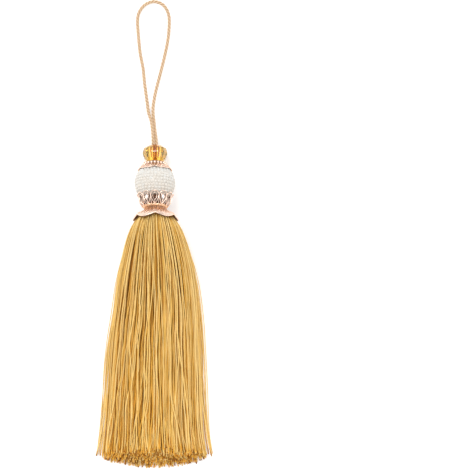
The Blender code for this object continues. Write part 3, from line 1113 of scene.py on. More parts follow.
def loop_points(spacing):
    """The cord's middle line: up one leg of the bore, round the loop and down the other."""
    feet, mouths = (
        [AXIS @ (Vector((side * LEG_OFFSET, 0.0, height)) * MM) for side in (-1.0, 1.0)]
        for height in (SOCKET_FLOOR + SEAT_GAP, RONDELLE_CENTRE)
    )
    route = [Vector((x * MM, (BALL_Y + y) * MM, z * MM)) for x, y, z in LOOP_ROUTE]
    curve = smooth_curve([mouths[0]] + route + [mouths[1]], ROUTE_SAMPLES)
    return even_points([feet[0]] + curve + [feet[1]], spacing)


def add_hanging_loop():
    size = sizes()
    middle = loop_points(size.rope_lay / ROPE_RINGS_PER_LAY)
    along = tangents(middle)
    offset = ROPE_DIAMETER / 2 + ROPE_SWELL - size.ply_radius
    shape = Shape(Cells(ROPE_PLIES * math.ceil(len(middle) / PLY_CELL_RINGS), PLY_TALLNESS))
    for ply in range(ROPE_PLIES):
        outward = [
            sideways(forward, math.tau * (index / ROPE_RINGS_PER_LAY + ply / ROPE_PLIES))
            for index, forward in enumerate(along)
        ]
        centres = [centre + away * offset for centre, away in zip(middle, outward)]
        add_tube(shape, centres, outward, size.ply_radius, PLY_SIDES, cell_rings=PLY_CELL_RINGS)
    # Painted shade: a ply is darker where it turns in towards the others, and paler on the side that it turns
    # outward.
    shape.tone = [0.5 + 0.5 * cosine for cosine in shape.fibre[::3]]
    rope = shape.add_piece("cord_loop", cord_finish(), "cord", "hanging_loop")
    round(path_length(middle), 4)
    [tuple(point) for point in middle[::PATH_STEP] + middle[-1:]]


# Beads


def rondelle_hull():
    """The hull of the facet corners, with the end rings a half step on from the rest."""
    shape = bmesh.new()
    for radius, height, turn in RONDELLE_RINGS:
        for azimuth in full_turn(RONDELLE_FACETS, turn):
            shape.verts.new(round_spot(radius, azimuth, height) * MM)
    bmesh.ops.convex_hull(shape, input=shape.verts)
    bmesh.ops.dissolve_limit(shape, angle_limit=FLAT_FACET, verts=shape.verts, edges=shape.edges)
    return linked_shape("glass_rondelle", shape)


def rondelle_drill():
    shape = bmesh.new()
    bmesh.ops.create_cone(
        shape,
        cap_ends=True,
        segments=BORE_STEPS,
        radius1=BORE_RADIUS * MM,
        radius2=BORE_RADIUS * MM,
        depth=2.0 * RONDELLE_LENGTH * MM,
    )
    return linked_shape("rondelle_drill", shape)


def add_rondelle():
    """A cut glass bead, drilled and with worn edges."""
    bead = rondelle_hull()
    cutter = rondelle_drill()
    bore = bead.modifiers.new("bore", "BOOLEAN")
    bore.operation = "DIFFERENCE"
    bore.solver = "EXACT"
    bore.object = cutter
    bevel = bead.modifiers.new("worn edges", "BEVEL")
    bevel.width = WORN_EDGE * MM
    bevel.segments = 1
    bevel.limit_method = "ANGLE"
    bevel.angle_limit = WORN_EDGE_ANGLE
    bpy.context.view_layer.update()
    graph = bpy.context.evaluated_depsgraph_get()
    finished = bpy.data.meshes.new_from_object(bead.evaluated_get(graph))
    finished.name = "glass_rondelle"
    lining = [
        float(math.hypot(vertex.co.x, vertex.co.y) < BORE_LINING * MM) for vertex in finished.vertices
    ]
    finished.attributes.new("tone", "FLOAT", "POINT").data.foreach_set("value", lining)
    finished.transform(AXIS @ Matrix.Translation((0.0, 0.0, RONDELLE_CENTRE * MM)))
    bpy.data.objects.remove(bead)
    bpy.data.objects.remove(cutter)
    for polygon in finished.polygons:
        polygon.use_smooth = False
    add_piece("glass_rondelle", finished, glass_finish(), "rondelle_bead")


def ball_of(columns, rows):
    """Columns, rows, points and faces of a unit ball with its poles on the local Z axis."""
    points = [Vector((0.0, 0.0, 1.0))]
    for row in range(1, rows):
        points += [dome_spot(1.0, math.pi * row / rows, azimuth) for azimuth in full_turn(columns)]
    points.append(Vector((0.0, 0.0, -1.0)))
    last = len(points) - 1
    faces = []
    for column in range(columns):
        after = (column + 1) % columns
        faces.append(((0, 1 + column, 1 + after), column, 0))
        for row in range(rows - 2):
            near = 1 + row * columns
            far = near + columns
            faces.append(((near + column, far + column, far + after, near + after), column, row + 1))
        near = 1 + (rows - 2) * columns
        faces.append(((near + column, last, near + after), column, rows - 1))
    return columns, rows, points, faces


def add_ball(shape, ball, centre, radius, tone=PLAIN_TONE, turn=Matrix()):
    """A small bead; radius is one number, or three along its axes as turn leaves them."""
    columns, rows, points, faces = ball
    radius = even_list(radius, 3)
    start = len(shape.points)
    for point in points:
        spot = turn @ Vector(a * b for a, b in zip(point, radius))
        shape.add_point(centre + spot, tone)
    cell = shape.next_cell()
    for corners, column, row in faces:
        places = ()
        if cell:
            left, middle, right = ((column + share) / columns for share in (0.0, 0.5, 1.0))
            top, low = (1.0 - (row + side) / rows for side in (0, 1))
            if row == 0:
                places = ((middle, top), (left, low), (right, low))
            elif row == rows - 1:
                places = ((left, top), (middle, low), (right, top))
            else:
                places = ((left, top), (left, low), (right, low), (right, top))
        places = [in_cell(cell, *place) for place in places]
        shape.add_face(tuple(start + corner for corner in corners), places)


def pearl_spots(middle_radius, pitch):
    """Directions of the seed pearls in staggered rows round the axis."""
    step = pitch * PEARL_ROW_SHARE / middle_radius
    rows = round((PEARLS_LAST - PEARLS_FIRST) / step)
    spots = []
    for row in range(rows + 1):
        polar = PEARLS_FIRST + (PEARLS_LAST - PEARLS_FIRST) * row / rows
        count = round(math.tau * middle_radius * math.sin(polar) / pitch)
        spots += [(polar, azimuth) for azimuth in full_turn(count, 0.5 * (row % 2))]
    return spots


def add_pearls():
    size = sizes()
    chance = random.Random(PEARL_SEED)
    ball = ball_of(*PEARL_GRID)
    middle = BALL_RADIUS * MM - size.pearl_radius
    spots = pearl_spots(middle, size.pearl_pitch)
    pearls = Shape(Cells(len(spots), PEARL_TALLNESS))
    for polar, azimuth in spots:
        radius = size.pearl_radius * chance.uniform(*PEARL_SIZES)
        polar += chance.uniform(-PEARL_TILT, PEARL_TILT)
        azimuth += chance.uniform(-PEARL_TURN, PEARL_TURN)
        lift = chance.uniform(*PEARL_LIFTS) * MM
        centre = AXIS @ dome_spot(middle + lift, polar, azimuth)
        centre.z = max(centre.z, radius)
        # Painted reflection: the tone rises, cooler, towards the loop and falls towards the warm skirt and
        # caps.
        along = (centre.y / MM - BALL_Y) / BALL_RADIUS
        spread = chance.uniform(-PEARL_TONE_SPREAD, PEARL_TONE_SPREAD)
        add_ball(pearls, ball, centre, radius, PLAIN_TONE + PEARL_REFLECTION_RISE * along + spread)
    pearls.add_piece("seed_pearls", pearl_finish("seed_pearl"), "pearl", "pearl_ball")


def add_pearl_ball():
    add_pearls()
    core = Shape()
    radius = BALL_RADIUS - CORE_DEPTH
    edge = bore_angle(radius)
    outline = arc(radius, edge, math.pi - edge, CORE_BANDS)
    outline += [(BORE_RADIUS, outline[-1][1]), (BORE_RADIUS, outline[0][1])]
    add_turned(core, outline, CORE_STEPS)
    core.add_piece("ball_core", pearl_finish("ball_core_lacquer"), "pearl", "pearl_ball", AXIS)


# Caps


def ribbed(count, azimuth):
    """1 on each of count ribs round the axis and 0 in the grooves between them."""
    return 0.5 + 0.5 * math.cos(count * (azimuth - FRONT))


def off_petal(azimuth, petals):
    """0 at the middle of a petal and 1 midway between two."""
    return abs((azimuth * petals / math.tau + 0.5) % 1.0 - 0.5) * 2.0


def notch_share(azimuth):
    """0 at the middle of an upper cap's petal and 1 in the notch between two, with round petals."""
    across = min(1.0, off_petal(azimuth, UPPER_CAP_PETALS))
    return 1.0 - math.sqrt(1.0 - across**2 * NOTCH_SHARPNESS)


def scalloped(spot):
    """Draw the upper cap's rim back along the sphere between petals; it tapers off up the dome."""
    polar = math.atan2(math.hypot(spot.x, spot.y), spot.z)
    weight = (polar - UPPER_CAP_DOME) / (UPPER_CAP_RIM - UPPER_CAP_DOME)
    if weight <= 0.0:
        return spot
    azimuth = math.atan2(spot.y, spot.x)
    turned = polar - UPPER_CAP_NOTCH * min(1.0, weight) * notch_share(azimuth)
    return dome_spot(spot.length, turned, azimuth)


def add_wire(shape, points, radius, middle=BALL_MIDDLE, **tube):
    """A wire of a radius in metres along points in mm, its flat side turned away from a middle."""
    outward = [(point - middle).normalized() for point in points]
    settings = {"sides": WIRE_SIDES, "closed": True, **tube}
    add_tube(shape, [point * MM for point in points], outward, radius, **settings)


def drop_loop(surface, tip, foot, half_turn, azimuth, steps):
    """A teardrop on a surface: round at tip and pointed at foot."""
    points = []
    for turn in full_turn(steps):
        along = 0.5 - 0.5 * math.cos(turn)
        width = math.sin(turn) * math.sqrt(along) * DROP_WIDEST
        points.append(surface(foot + (tip - foot) * along, azimuth + half_turn * width))
    return points


def add_upper_cap_wires(shape, outside):
    wire = sizes().wire_radius
    rim = [
        dome_spot(outside, UPPER_CAP_RIM - UPPER_CAP_NOTCH * notch_share(azimuth), azimuth)
        for azimuth in full_turn(RIM_STEPS)
    ]
    add_wire(shape, rim, UPPER_CAP_RIM_WIRE * wire)

    def dome(polar, azimuth):
        return dome_spot(outside + UPPER_CAP_DROP_LIFT, math.radians(polar), azimuth)

    for azimuth in full_turn(UPPER_CAP_PETALS, 0.5):
        for offset, tip, foot, half in UPPER_CAP_DROPS:
            turned = FRONT + azimuth + math.radians(offset)
            loop = drop_loop(dome, tip, foot, math.radians(half), turned, UPPER_CAP_DROP_STEPS)
            add_wire(shape, loop, UPPER_CAP_DROP_WIRE * wire, sides=FINE_WIRE_SIDES)


def add_upper_cap():
    inside = BALL_RADIUS + UPPER_CAP_GAP
    outside = inside + UPPER_CAP_WALL
    crown = eased_outline(UPPER_CAP_CROWN, UPPER_CAP_SAMPLES)
    outline = [(BORE_RADIUS, crown[0][1])] + crown
    start = len(outline)
    outline += arc(outside, UPPER_CAP_DOME, UPPER_CAP_RIM, UPPER_CAP_BANDS)
    outline += arc(inside, UPPER_CAP_RIM, bore_angle(inside), UPPER_CAP_BANDS)

    def change(row, azimuth, spot):
        return spot if row < start else scalloped(spot)

    def wear(row, azimuth):
        share_out = (row - start) / UPPER_CAP_BANDS
        if row < CROWN_ROWS:
            return CROWN_WEAR
        # Painted shade on the inside.
        if share_out > 1.0:
            return UPPER_CAP_LINING_SHADE
        if share_out < GROOVE_SHARE:
            return GROOVE_WEAR
        least, more = DOME_WEAR
        groove = 1.0 - ribbed(UPPER_CAP_PETALS * DOME_RIBS, azimuth)
        return (least + more * groove) * (1.0 - DOME_FADE * share_out)

    shape = Shape()
    add_turned(shape, outline, UPPER_CAP_STEPS, change, wear)
    add_upper_cap_wires(shape, outside)
    ball = ball_of(*GRAIN_GRID)
    radius, height = GRAIN_RING
    grain = [stretch * sizes().grain_radius for stretch in (1.0, 1.0, GRAIN_LENGTH)]
    for azimuth in full_turn(GRAINS, 0.5):
        add_ball(shape, ball, round_spot(radius, azimuth, height) * MM, grain)
    finish = metal_finish("rose_plate_upper")
    shape.add_piece("upper_cap", finish, "rose_metal", "upper_bead_cap", AXIS)


def add_lower_cap_wires(shape, cup):
    """The petals' loops, stems, pale drops and the grains where they meet; cup is their surface."""
    wire = sizes().wire_radius
    ball = ball_of(*JOINT_GRID)
    around = math.tau / LOWER_CAP_PETALS
    joint_depth, joint_radius = JOINT
    drop_depth, drop_radii = PALE_DROP
    for petal in range(LOWER_CAP_PETALS):
        azimuth = FRONT + around * petal
        for tip, foot, half, thick in LOWER_CAP_DROPS:
            loop = drop_loop(cup, tip, foot, half * around, azimuth, LOWER_CAP_DROP_STEPS)
            add_wire(shape, loop, thick * wire, flat=LOWER_CAP_DROP_FLATNESS)
        for offset, first, last, thick in LOWER_CAP_STEMS:
            stem = [
                cup(first + (last - first) * step / STEM_STEPS, azimuth + offset * around)
                for step in range(STEM_STEPS + 1)
            ]
            add_wire(shape, stem, thick * wire, closed=False)
        if petal % 2:
            radii = [radius * MM for radius in drop_radii]
            turn = Matrix.Rotation(azimuth - FRONT, 4, "Z")
            add_ball(shape, ball, cup(drop_depth, azimuth) * MM, radii, PALE_DROP_TONE, turn)
        add_ball(shape, ball, cup(joint_depth, azimuth + around / 2) * MM, joint_radius * wire)


def add_lower_cap():
    """Twelve wire petals on a bowl painted dark as shade, drawn in to a bright neck."""
    cup_radius = Eased(CUP_PROFILE)
    bottom = CUP_PROFILE[-1][0]
    outline = []
    for band in range(BOWL_BANDS + 1):
        depth = BOWL_TOP + (bottom - BOWL_TOP) * band / BOWL_BANDS
        sunk = BOWL_DEPTH * (1.0 - rising(depth, NECK_START, NECK_EASE))
        outline.append((cup_radius.first_at(depth) - sunk, -depth))
    count = len(outline)
    outline.append((BORE_RADIUS, outline[-1][1]))
    inside = BALL_RADIUS + SEAT_GAP
    rim = math.acos(BOWL_TOP / inside)
    outline += arc(inside, math.pi - bore_angle(inside), math.pi - rim, CUP_LINING_BANDS)
    flutes = 2 * LOWER_CAP_PETALS

    def change(row, azimuth, spot):
        if row >= count - 1 or spot.z > -NECK_START:
            return spot
        flute = 1.0 + FLUTE_DEPTH * math.cos(flutes * (azimuth - FRONT))
        return Vector((spot.x * flute, spot.y * flute, spot.z))

    def wear(row, azimuth):
        # Painted shade on the lining and on the bowl above the neck.
        if row >= count:
            return CUP_LINING_SHADE
        if -outline[row][1] < NECK_START:
            return BOWL_PAINTED_SHADE
        return NECK_WEAR * (1.0 - ribbed(flutes, azimuth))

    # Painted reflection of the yarn near the neck.
    def tone(row):
        return PLAIN_TONE + rising(-outline[row][1], *YARN_REFLECTION)

    def cup(depth, azimuth):
        return round_spot(cup_radius.first_at(depth), azimuth, -depth)

    shape = Shape()
    add_turned(shape, outline, LOWER_CAP_STEPS, change, wear, tone)
    add_lower_cap_wires(shape, cup)
    finish = metal_finish("rose_plate_lower")
    shape.add_piece("lower_cap", finish, "rose_metal", "lower_bead_cap", LOWER_CAP_SHIFT @ AXIS)


def petal_spot(azimuth, radius, height):
    """A point of the petal cap, swollen on the petals and notched between them."""
    weight = (height - PETAL_FLARE_START) / (PETAL_CAP_OUTSIDE[-1][1] - PETAL_FLARE_START)
    if weight > 0.0:
        radius *= 1.0 + PETAL_SWELL * weight * math.cos(PETALS * azimuth)
        height += PETAL_NOTCH * weight * off_petal(azimuth, PETALS) ** PETAL_POINT
    return round_spot(radius, azimuth, height)


def add_petal_cap():
    outer = eased_outline(PETAL_CAP_OUTSIDE, PETAL_CAP_OUTER_SAMPLES)
    inner = eased_outline(PETAL_CAP_INSIDE, PETAL_CAP_INNER_SAMPLES)
    outline = outer + inner
    outline += [(LOOSE_BORE_RADIUS, inner[-1][1]), (LOOSE_BORE_RADIUS, outer[0][1])]
    last = len(outer) - 1

    def change(row, azimuth, spot):
        moved = petal_spot(azimuth, *outline[row])
        if row > last:
            return moved
        strength = math.sin(math.pi * min(1.0, row / last / VEIN_END))
        return moved + round_spot(VEIN_HEIGHT * strength * ribbed(VEINS, azimuth), azimuth, 0.0)

    def wear(row, azimuth):
        # Painted shade on the inside.
        if row > last:
            return BELL_LINING_SHADE
        share_down = row / last
        least, more = PETAL_WEAR
        edge = BELL_EDGE_DARKENING if share_down > BELL_EDGE_SHARE else 0.0
        return max(edge, least + more * (1.0 - ribbed(VEINS, azimuth)) * (1.0 - share_down))

    shape = Shape()
    add_turned(shape, outline, PETAL_CAP_STEPS, change, wear)
    wire = sizes().wire_radius
    # The dark lower wire is a painted shadow line under the rim.
    for radius, lift, thick, darkness in PETAL_CAP_RIMS:
        height = PETAL_CAP_OUTSIDE[-1][1] + lift
        rim = [petal_spot(azimuth, radius, height) for azimuth in full_turn(RIM_STEPS)]
        add_wire(shape, rim, thick * wire, PETAL_CAP_MIDDLE, wear=darkness)
    ball = ball_of(*BEADING_GRID)
    for count, radius, height, bead in PETAL_BEADING:
        for azimuth in full_turn(count, 0.5):
            add_ball(shape, ball, petal_spot(azimuth, radius, height) * MM, bead * MM)
    shape.add_piece("bell_cap", metal_finish("rose_plate_bell"), "rose_metal", "petal_cap", BELL_SHIFT @ AXIS)


# Skirt


class Mound:
    """Where a strand lies: its share of the half width, its depth and its distance down the skirt."""

    def __init__(self):
        self.profile = Eased(SKIRT_PROFILE)
        self.width = Eased(SKIRT_WIDTH)
        self.middle = Eased(SKIRT_MIDDLE)
        self.pull = Eased(LOCK_PULL)
        self.growth = Eased(STRAY_GROWTH)
        self.body = Eased(STRAND_BODY)
        self.shade = Eased(GAP_SHADE)

    def spot(self, across, depth, distance):
        line, lean, rise, roundness = self.profile.at(distance)
        height = rise * (depth * (1.0 + roundness) - mound_top(across) * roundness)
        slope = math.radians(lean)
        return Vector(
            (
                self.middle.first_at(distance) + across * self.width.first_at(distance),
                BALL_Y - (distance - height * math.sin(slope)),
                line + height * math.cos(slope),
            )
        )


def mound_top(across):
    """Height of the mound's round surface, as a share of the greatest."""
    return math.sqrt(max(0.0, 1.0 - across**2))


def below_surface(across, depth):
    """How far a place in the mound's section lies under its round surface, in mm."""
    share_out = math.hypot(across, depth)
    if share_out == 0.0:
        return MOUND_HEIGHT
    out = math.hypot(across * MOUND_HALF_WIDTH, depth * MOUND_HEIGHT)
    return max(0.0, out * (1.0 - share_out) / share_out)


def mound_places(pitch, jitter, chance):
    """(share across, depth, distance under the surface) of points spread evenly over the mound."""
    row_pitch = pitch * math.sqrt(3.0) / 2.0
    places = []
    row = 0
    while (row + 0.5) * row_pitch < MOUND_HEIGHT:
        up = (row + 0.5) * row_pitch
        half = MOUND_HALF_WIDTH * math.sqrt(1.0 - (up / MOUND_HEIGHT) ** 2)
        reach = int(half / pitch) + 1
        for column in range(-reach, reach + 1):
            x = (column + 0.5 * (row % 2)) * pitch
            if abs(x) + EDGE_ROOM * pitch > half:
                continue
            across = (x + chance.uniform(-jitter, jitter) * pitch) / MOUND_HALF_WIDTH
            depth = (up + chance.uniform(-jitter, jitter) * row_pitch) / MOUND_HEIGHT
            depth = clamped(depth, 0.0, mound_top(across))
            places.append((across, depth, below_surface(across, depth)))
        row += 1
    return places


def random_waves(chance, table):
    """Height, length and phase of a table's waves."""
    return [
        (chance.uniform(low, high), chance.uniform(short, long), chance.uniform(0.0, math.tau))
        for low, high, short, long in table
    ]


def waves_at(waves, distance):
    return sum(height * math.sin(math.tau * distance / span + phase) for height, span, phase in waves)


class Lock:
    """A bunch of neighbouring strands that run together and meander as one."""

    def __init__(self, across, depth, chance):
        self.across = across
        self.depth = depth
        self.tone = chance.gauss(0.0, LOCK_TONE_SPREAD)
        self.lift = chance.uniform(-LOCK_LIFT, LOCK_LIFT)
        self.waves = random_waves(chance, LOCK_WAVES)
        self.grip = chance.uniform(*LOCK_GRIPS)
        self.dark_ends = chance.choice(DARK_END_SHARES)
        self.grip_place = chance.uniform(*LOCK_GRIP_PLACES)
        self.grip_run = chance.uniform(*LOCK_GRIP_RUNS)

    def hold(self, distance):
        """How tightly the lock is drawn together at a distance down the skirt."""
        away = (distance - self.grip_place) / self.grip_run
        return LEAST_GRIP + self.grip * math.exp(-(away**2))


def nearest_lock(locks, across, depth):
    def gap(lock):
        return ((lock.across - across) * MOUND_HALF_WIDTH) ** 2 + (
            (lock.depth - depth) * MOUND_HEIGHT
        ) ** 2

    return min(locks, key=gap)


def cut_distance(across, depth):
    """How far down the skirt the longest strands of a place reach."""
    return SKIRT_REACH - SKIRT_SIDE_LOSS * across**2 - sizes().tip_loss / MM * depth


def strand_line(mound, across, depth, lock, reach, radius, loose, stations, chance):
    """Middle points of a strand in mm, from the head to its cut end."""
    wander = sizes().strand_wander / MM * (LOOSE_WANDER if loose else 1.0)
    drift = chance.gauss(0.0, LOOSE_DRIFT if loose else DRIFT)
    waves = random_waves(chance, STRAND_WAVES)
    rise_waves = random_waves(chance, RISE_WAVES)
    side_bend, lift_bend = [chance.gauss(0.0, spread) for spread in END_BEND]
    bend_run = END_BEND_RUN
    if loose:
        side_bend = chance.gauss(0.0, LOOSE_END_BEND)
        bend_run = LOOSE_BEND_RUN
    room = 1.0 - across**2
    edge = SIDE_HOLD + (1.0 - SIDE_HOLD) * room
    points = []
    for station in range(stations):
        share = (station / (stations - 1)) ** STATION_EASE
        distance = SKIRT_START + (reach - SKIRT_START) * share
        pull = mound.pull.first_at(distance) * room * lock.hold(distance)
        growth = mound.growth.first_at(distance)
        sway = growth * waves_at(lock.waves, distance)
        x = across + (lock.across - across) * pull + room * sway
        up = depth + (lock.depth - depth) * LOCK_DEPTH_PULL * pull + lock.lift * pull
        spot = mound.spot(clamped(x, -1.0), max(up, 0.0), distance)
        side = (HEAD_HOLD + (1.0 - HEAD_HOLD) * growth) * waves_at(waves, distance)
        run = (distance - SKIRT_START) / (SKIRT_REACH - SKIRT_START)
        past = (max(0.0, distance - reach + bend_run) / bend_run) ** END_BEND_POWER
        spot.x += edge * (wander * side + drift * run)
        spot.x += edge * side_bend * past
        spot.z += lift_bend * past
        spot.z += RISE_SHARE * wander * growth * waves_at(rise_waves, distance)
        spot.z = max(spot.z, radius + FLOOR_GAP)
        points.append(spot)
    return points


def add_strand(shape, frays, mound, locks, place, fineness, chance):
    """One yarn strand with its frayed end."""
    across, depth, below = place
    sides, stations = fineness
    lock = nearest_lock(locks, across, depth)
    size = sizes()
    radius = size.strand_width / 2 / MM
    loose = below < TOP_LAYER and chance.random() < LOOSE_SHARE
    reach = cut_distance(across, depth) - size.tip_spread / MM * chance.random() ** TIP_SPREAD_POWER
    line = strand_line(mound, across, depth, lock, reach, radius, loose, stations, chance)
    if below < TOP_LAYER:
        lift = radius * chance.uniform(*(LOOSE_LIFTS if loose else HELD_LIFTS))
        for index, point in enumerate(line):
            point.z = max(point.z + lift * min(1.0, index / LIFT_STATIONS), radius)
    beside = rising(abs(across), *BESIDE)
    tone = STRAND_TONE + lock.tone + chance.gauss(0.0, STRAND_TONE_SPREAD)
    # Painted shade: strands under the surface are deeper in tone and shaded; painted light: at the sides they
    # are paler and unshaded.
    tone += (LOOSE_TONE if loose else 0.0) - rising(below, *DEEP_SHADE_TONE) + SIDE_PAINTED_LIGHT * beside
    shade = rising(below, *DEEP_SHADE) * (1.0 - beside)
    dark = chance.random() < lock.dark_ends
    bright = chance.random() < BRIGHT_TIP_SHARE
    tip_tone = chance.uniform(*(BRIGHT_TIP_TONES if bright else PALE_TIP_TONES))
    tip_wear = chance.uniform(*DARK_TIP_WEARS) if dark else 0.0
    end_wear = 1.0 if dark else chance.uniform(0.0, PALE_CUT_WEAR)
    distances = [BALL_Y - point.y for point in line]
    widths = [radius * MM * mound.body.first_at(distance) for distance in distances]
    tones = [tone] * (stations - 1) + [(tone + tip_tone) / 2]
    # Painted shade on the strands under the top ones; the last station takes the tip's darkness.
    wear = [shade * mound.shade.first_at(distance) for distance in distances[:-1]] + [tip_wear]
    add_tube(shape, [point * MM for point in line], UP, widths, sides, tones, wear, end_wear=end_wear)
    add_fray(frays, line, radius, tip_tone, dark, chance)


def add_fray(frays, line, radius, tone, dark, chance):
    """The plies that open out at a strand's cut end."""
    end = line[-1]
    along = (end - line[-2]).normalized()
    turn = chance.uniform(0.0, math.tau)
    for ply in range(FRAY_PLIES):
        away = sideways(along, turn + math.tau * ply / FRAY_PLIES)
        reach = chance.uniform(*FRAY_REACHES)
        splay = chance.uniform(*FRAY_SPLAYS)
        centres = []
        for step in range(len(FRAY_RADII)):
            t = step / (len(FRAY_RADII) - 1)
            spot = end + along * (reach * t - FRAY_OVERLAP) + away * (FRAY_OFFSET * radius + splay * t * t)
            spot.z = max(spot.z, FRAY_FLOOR)
            centres.append(spot * MM)
        radii = [share * radius * MM for share in FRAY_RADII]
        wear = FRAY_DARK_WEAR if dark else (0.0, 0.0, chance.uniform(0.0, FRAY_PALE_WEAR))
        shade = tone + chance.uniform(-FRAY_TONE_SPREAD, FRAY_TONE_SPREAD)
        add_tube(frays, centres, UP, radii, FRAY_SIDES, shade, wear)


def add_skirt():
    size = sizes()
    chance = random.Random(SKIRT_SEED)
    mound = Mound()
    spots = mound_places(size.lock_pitch / MM, LOCK_JITTER, chance)
    locks = [Lock(across, depth, chance) for across, depth, _ in spots]
    places = mound_places(size.strand_pitch / MM, STRAND_JITTER, chance)
    outer = [place for place in places if place[2] < OUTER_LAYER]
    inner = [place for place in places if place[2] >= OUTER_LAYER]
    finish = yarn_finish()
    frays = Shape(Cells(FRAY_PLIES * len(places), FRAY_TALLNESS))
    for name, group, fineness in (
        ("skirt_strands", outer, OUTER_FINENESS),
        ("skirt_filling", inner, INNER_FINENESS),
    ):
        shape = Shape(Cells(len(group), STRAND_TALLNESS))
        for place in group:
            add_strand(shape, frays, mound, locks, place, fineness, chance)
        shape.add_piece(name, finish, "yarn", "tassel_skirt")
    frays.add_piece("skirt_frayed_ends", finish, "yarn", "tassel_skirt")
    add_strays(mound, finish, chance)
    add_head(finish)


def add_strays(mound, finish, chance):
    """Thin loose fibres beside the skirt, and more that cross its top."""
    strays = list(SIDE_STRAYS)
    for _ in range(TOP_STRAYS):
        across = chance.uniform(-TOP_STRAY_ACROSS, TOP_STRAY_ACROSS)
        start = chance.uniform(*TOP_STRAY_STARTS)
        strays.append((across, start, chance.uniform(-TOP_STRAY_REACH, TOP_STRAY_REACH)))
    shape = Shape(Cells(len(strays), STRAY_TALLNESS))
    swing, swing_run = STRAY_SWING
    for number, (across, start, out) in enumerate(strays):
        depth = mound_top(across)
        reach = cut_distance(across, depth) - chance.uniform(0.0, STRAY_SHORTER)
        beside = number < len(SIDE_STRAYS)
        centres = []
        for station in range(STRAY_STATIONS):
            distance = SKIRT_START + (reach - SKIRT_START) * station / (STRAY_STATIONS - 1)
            away = max(0.0, distance - start) / (reach - start)
            spot = mound.spot(across, depth, distance)
            spot.x += out * (1.0 - (1.0 - away) ** 3) + swing * away * math.sin(distance / swing_run + number)
            if beside:
                spot.z *= 1.0 - SIDE_STRAY_SINK * away
            spot.z = max(spot.z + STRAY_LIFT, STRAY_RADIUS + FLOOR_GAP)
            centres.append(spot * MM)
        tone = SIDE_STRAY_TONE if beside else TOP_STRAY_TONE
        add_tube(shape, centres, UP, STRAY_RADIUS * MM, STRAY_SIDES, tone)
    shape.add_piece("skirt_stray_fibres", finish, "yarn", "tassel_skirt")


def add_head(finish):
    """The bound yarn inside the petal cap, with its windings and the socket for the cord's ends."""
    shape = Shape()
    head = eased_outline(HEAD_OUTSIDE, HEAD_SAMPLES)
    outline = [
        (HEAD_POLE, SOCKET_FLOOR),
        (LOOSE_BORE_RADIUS, SOCKET_FLOOR),
        (LOOSE_BORE_RADIUS, head[0][1]),
        *head,
        (HEAD_POLE, head[-1][1]),
    ]
    add_turned(shape, outline, HEAD_STEPS)
    for radius, height in head[WOUND_ROWS]:
        ring = [round_spot(radius, azimuth, height) for azimuth in full_turn(WINDING_STEPS)]
        add_wire(shape, ring, WINDING_RADIUS * MM, HEAD_MIDDLE, sides=FINE_WIRE_SIDES)
    shape.add_piece("yarn_head", finish, "yarn", "tassel_skirt", BELL_SHIFT @ AXIS)


# Stage


def add_floor():
    mesh = bpy.data.meshes.new("pale_floor")
    corners = [(2 * right - 1, 2 * up - 1) for right, up in SQUARE]
    mesh.from_pydata([(FLOOR_HALF * x, FLOOR_HALF * y, 0.0) for x, y in corners], [], [(0, 1, 2, 3)])
    mesh.materials.append(floor_finish())
    floor = linked("pale_floor", mesh)
    floor.location.z = -FLOOR_DROP


def add_sky():
    world = bpy.data.worlds.new("pale_studio")
    world.use_nodes = True
    bpy.context.scene.world = world
    tree = world.node_tree
    background = tree.nodes["Background"]
    place = tree.nodes.new("ShaderNodeTexCoord")
    parts = tree.nodes.new("ShaderNodeSeparateXYZ")
    ramp = tree.nodes.new("ShaderNodeValToRGB")
    tree.links.new(place.outputs["Generated"], parts.inputs["Vector"])
    tree.links.new(parts.outputs["Z"], ramp.inputs["Fac"])
    tree.links.new(ramp.outputs["Color"], background.inputs["Color"])
    elements = ramp.color_ramp.elements
    while len(elements) < len(SKY):
        elements.new(1.0)
    for element, (height, brightness) in zip(elements, SKY):
        element.position = height
        element.color = (brightness, brightness, brightness, 1.0)
    background.inputs["Strength"].default_value = 1.0


def add_lamps():
    for name, direction, strength, spread in LAMPS:
        data = bpy.data.lights.new(name, "SUN")
        data.energy = strength
        data.angle = math.radians(spread)
        lamp = linked(name, data)
        lamp.rotation_mode = "QUATERNION"
        lamp.rotation_quaternion = Vector(direction).to_track_quat("Z", "Y")


def add_camera():
    data = bpy.data.cameras.new("photo_camera")
    data.sensor_width = SENSOR
    data.lens = SENSOR * (CAMERA_HEIGHT - OBJECT_LEVEL) / PICTURE_SPAN
    data.clip_start, data.clip_end = CLIP_RANGE
    camera = linked("photo_camera", data)
    camera.location = (*PICTURE_MIDDLE, CAMERA_HEIGHT)
    bpy.context.scene.camera = camera


def add_stage():
    bpy.context.scene.view_settings.view_transform = "Standard"
    add_floor()
    add_sky()
    add_lamps()
    add_camera()


# Operators and panel


class TASSEL_OT_stage(bpy.types.Operator):
    """Add the pale floor, the soft light and the camera"""

    bl_idname = "tassel.stage"
    bl_label = "Stage"

    def execute(self, context):
        add_stage()
        return {"FINISHED"}


class TASSEL_OT_hanging_loop(bpy.types.Operator):
    """Lay the twisted cord loop"""

    bl_idname = "tassel.hanging_loop"
    bl_label = "Hanging loop"

    def execute(self, context):
        add_hanging_loop()
        return {"FINISHED"}


class TASSEL_OT_rondelle(bpy.types.Operator):
    """Cut the glass rondelle"""

    bl_idname = "tassel.rondelle"
    bl_label = "Glass rondelle"

    def execute(self, context):
        add_rondelle()
        return {"FINISHED"}


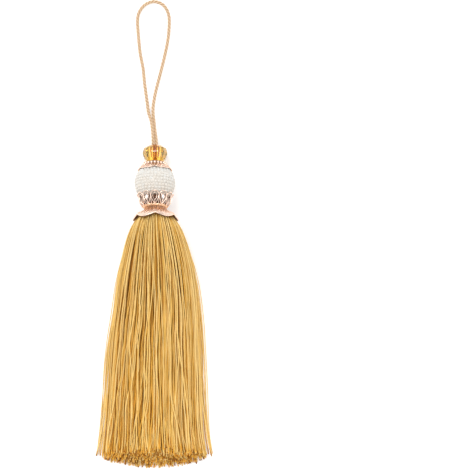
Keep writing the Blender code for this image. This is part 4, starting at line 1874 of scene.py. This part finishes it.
class TASSEL_OT_pearl_ball(bpy.types.Operator):
    """Cover the ball with seed pearls"""

    bl_idname = "tassel.pearl_ball"
    bl_label = "Pearl ball"

    def execute(self, context):
        add_pearl_ball()
        return {"FINISHED"}


class TASSEL_OT_caps(bpy.types.Operator):
    """Form the two filigree caps and the petal cap"""

    bl_idname = "tassel.caps"
    bl_label = "Metal caps"

    def execute(self, context):
        add_upper_cap()
        add_lower_cap()
        add_petal_cap()
        return {"FINISHED"}


class TASSEL_OT_skirt(bpy.types.Operator):
    """Lay the yarn strands, their frayed ends and the bound head"""

    bl_idname = "tassel.skirt"
    bl_label = "Yarn skirt"

    def execute(self, context):
        add_skirt()
        return {"FINISHED"}


OPERATORS = (
    TASSEL_OT_stage,
    TASSEL_OT_hanging_loop,
    TASSEL_OT_rondelle,
    TASSEL_OT_pearl_ball,
    TASSEL_OT_caps,
    TASSEL_OT_skirt,
)


class TASSEL_PT_parts(bpy.types.Panel):
    """The tassel's pieces and their sizes and colours"""

    bl_label = "Curtain tieback tassel"
    bl_idname = "TASSEL_PT_parts"
    bl_space_type = "VIEW_3D"
    bl_region_type = "UI"
    bl_category = "Tassel"

    def draw(self, context):
        layout = self.layout
        for operator in OPERATORS:
            layout.operator(operator.bl_idname)
        for group in (context.scene.tassel_sizes, context.scene.tassel_colours):
            column = layout.column()
            for name in group.__annotations__:
                column.prop(group, name)


CLASSES = (TasselSizes, TasselColours, *OPERATORS, TASSEL_PT_parts)


def register():
    for kind in CLASSES:
        bpy.utils.register_class(kind)
    bpy.types.Scene.tassel_sizes = bpy.props.PointerProperty(type=TasselSizes)
    bpy.types.Scene.tassel_colours = bpy.props.PointerProperty(type=TasselColours)


def unregister():
    del bpy.types.Scene.tassel_colours
    del bpy.types.Scene.tassel_sizes
    for kind in reversed(CLASSES):
        bpy.utils.unregister_class(kind)


def main():
    register()
    bpy.ops.tassel.stage()
    bpy.ops.tassel.hanging_loop()
    bpy.ops.tassel.rondelle()
    bpy.ops.tassel.pearl_ball()
    bpy.ops.tassel.caps()
    bpy.ops.tassel.skirt()


if __name__ == "__main__":
    main()
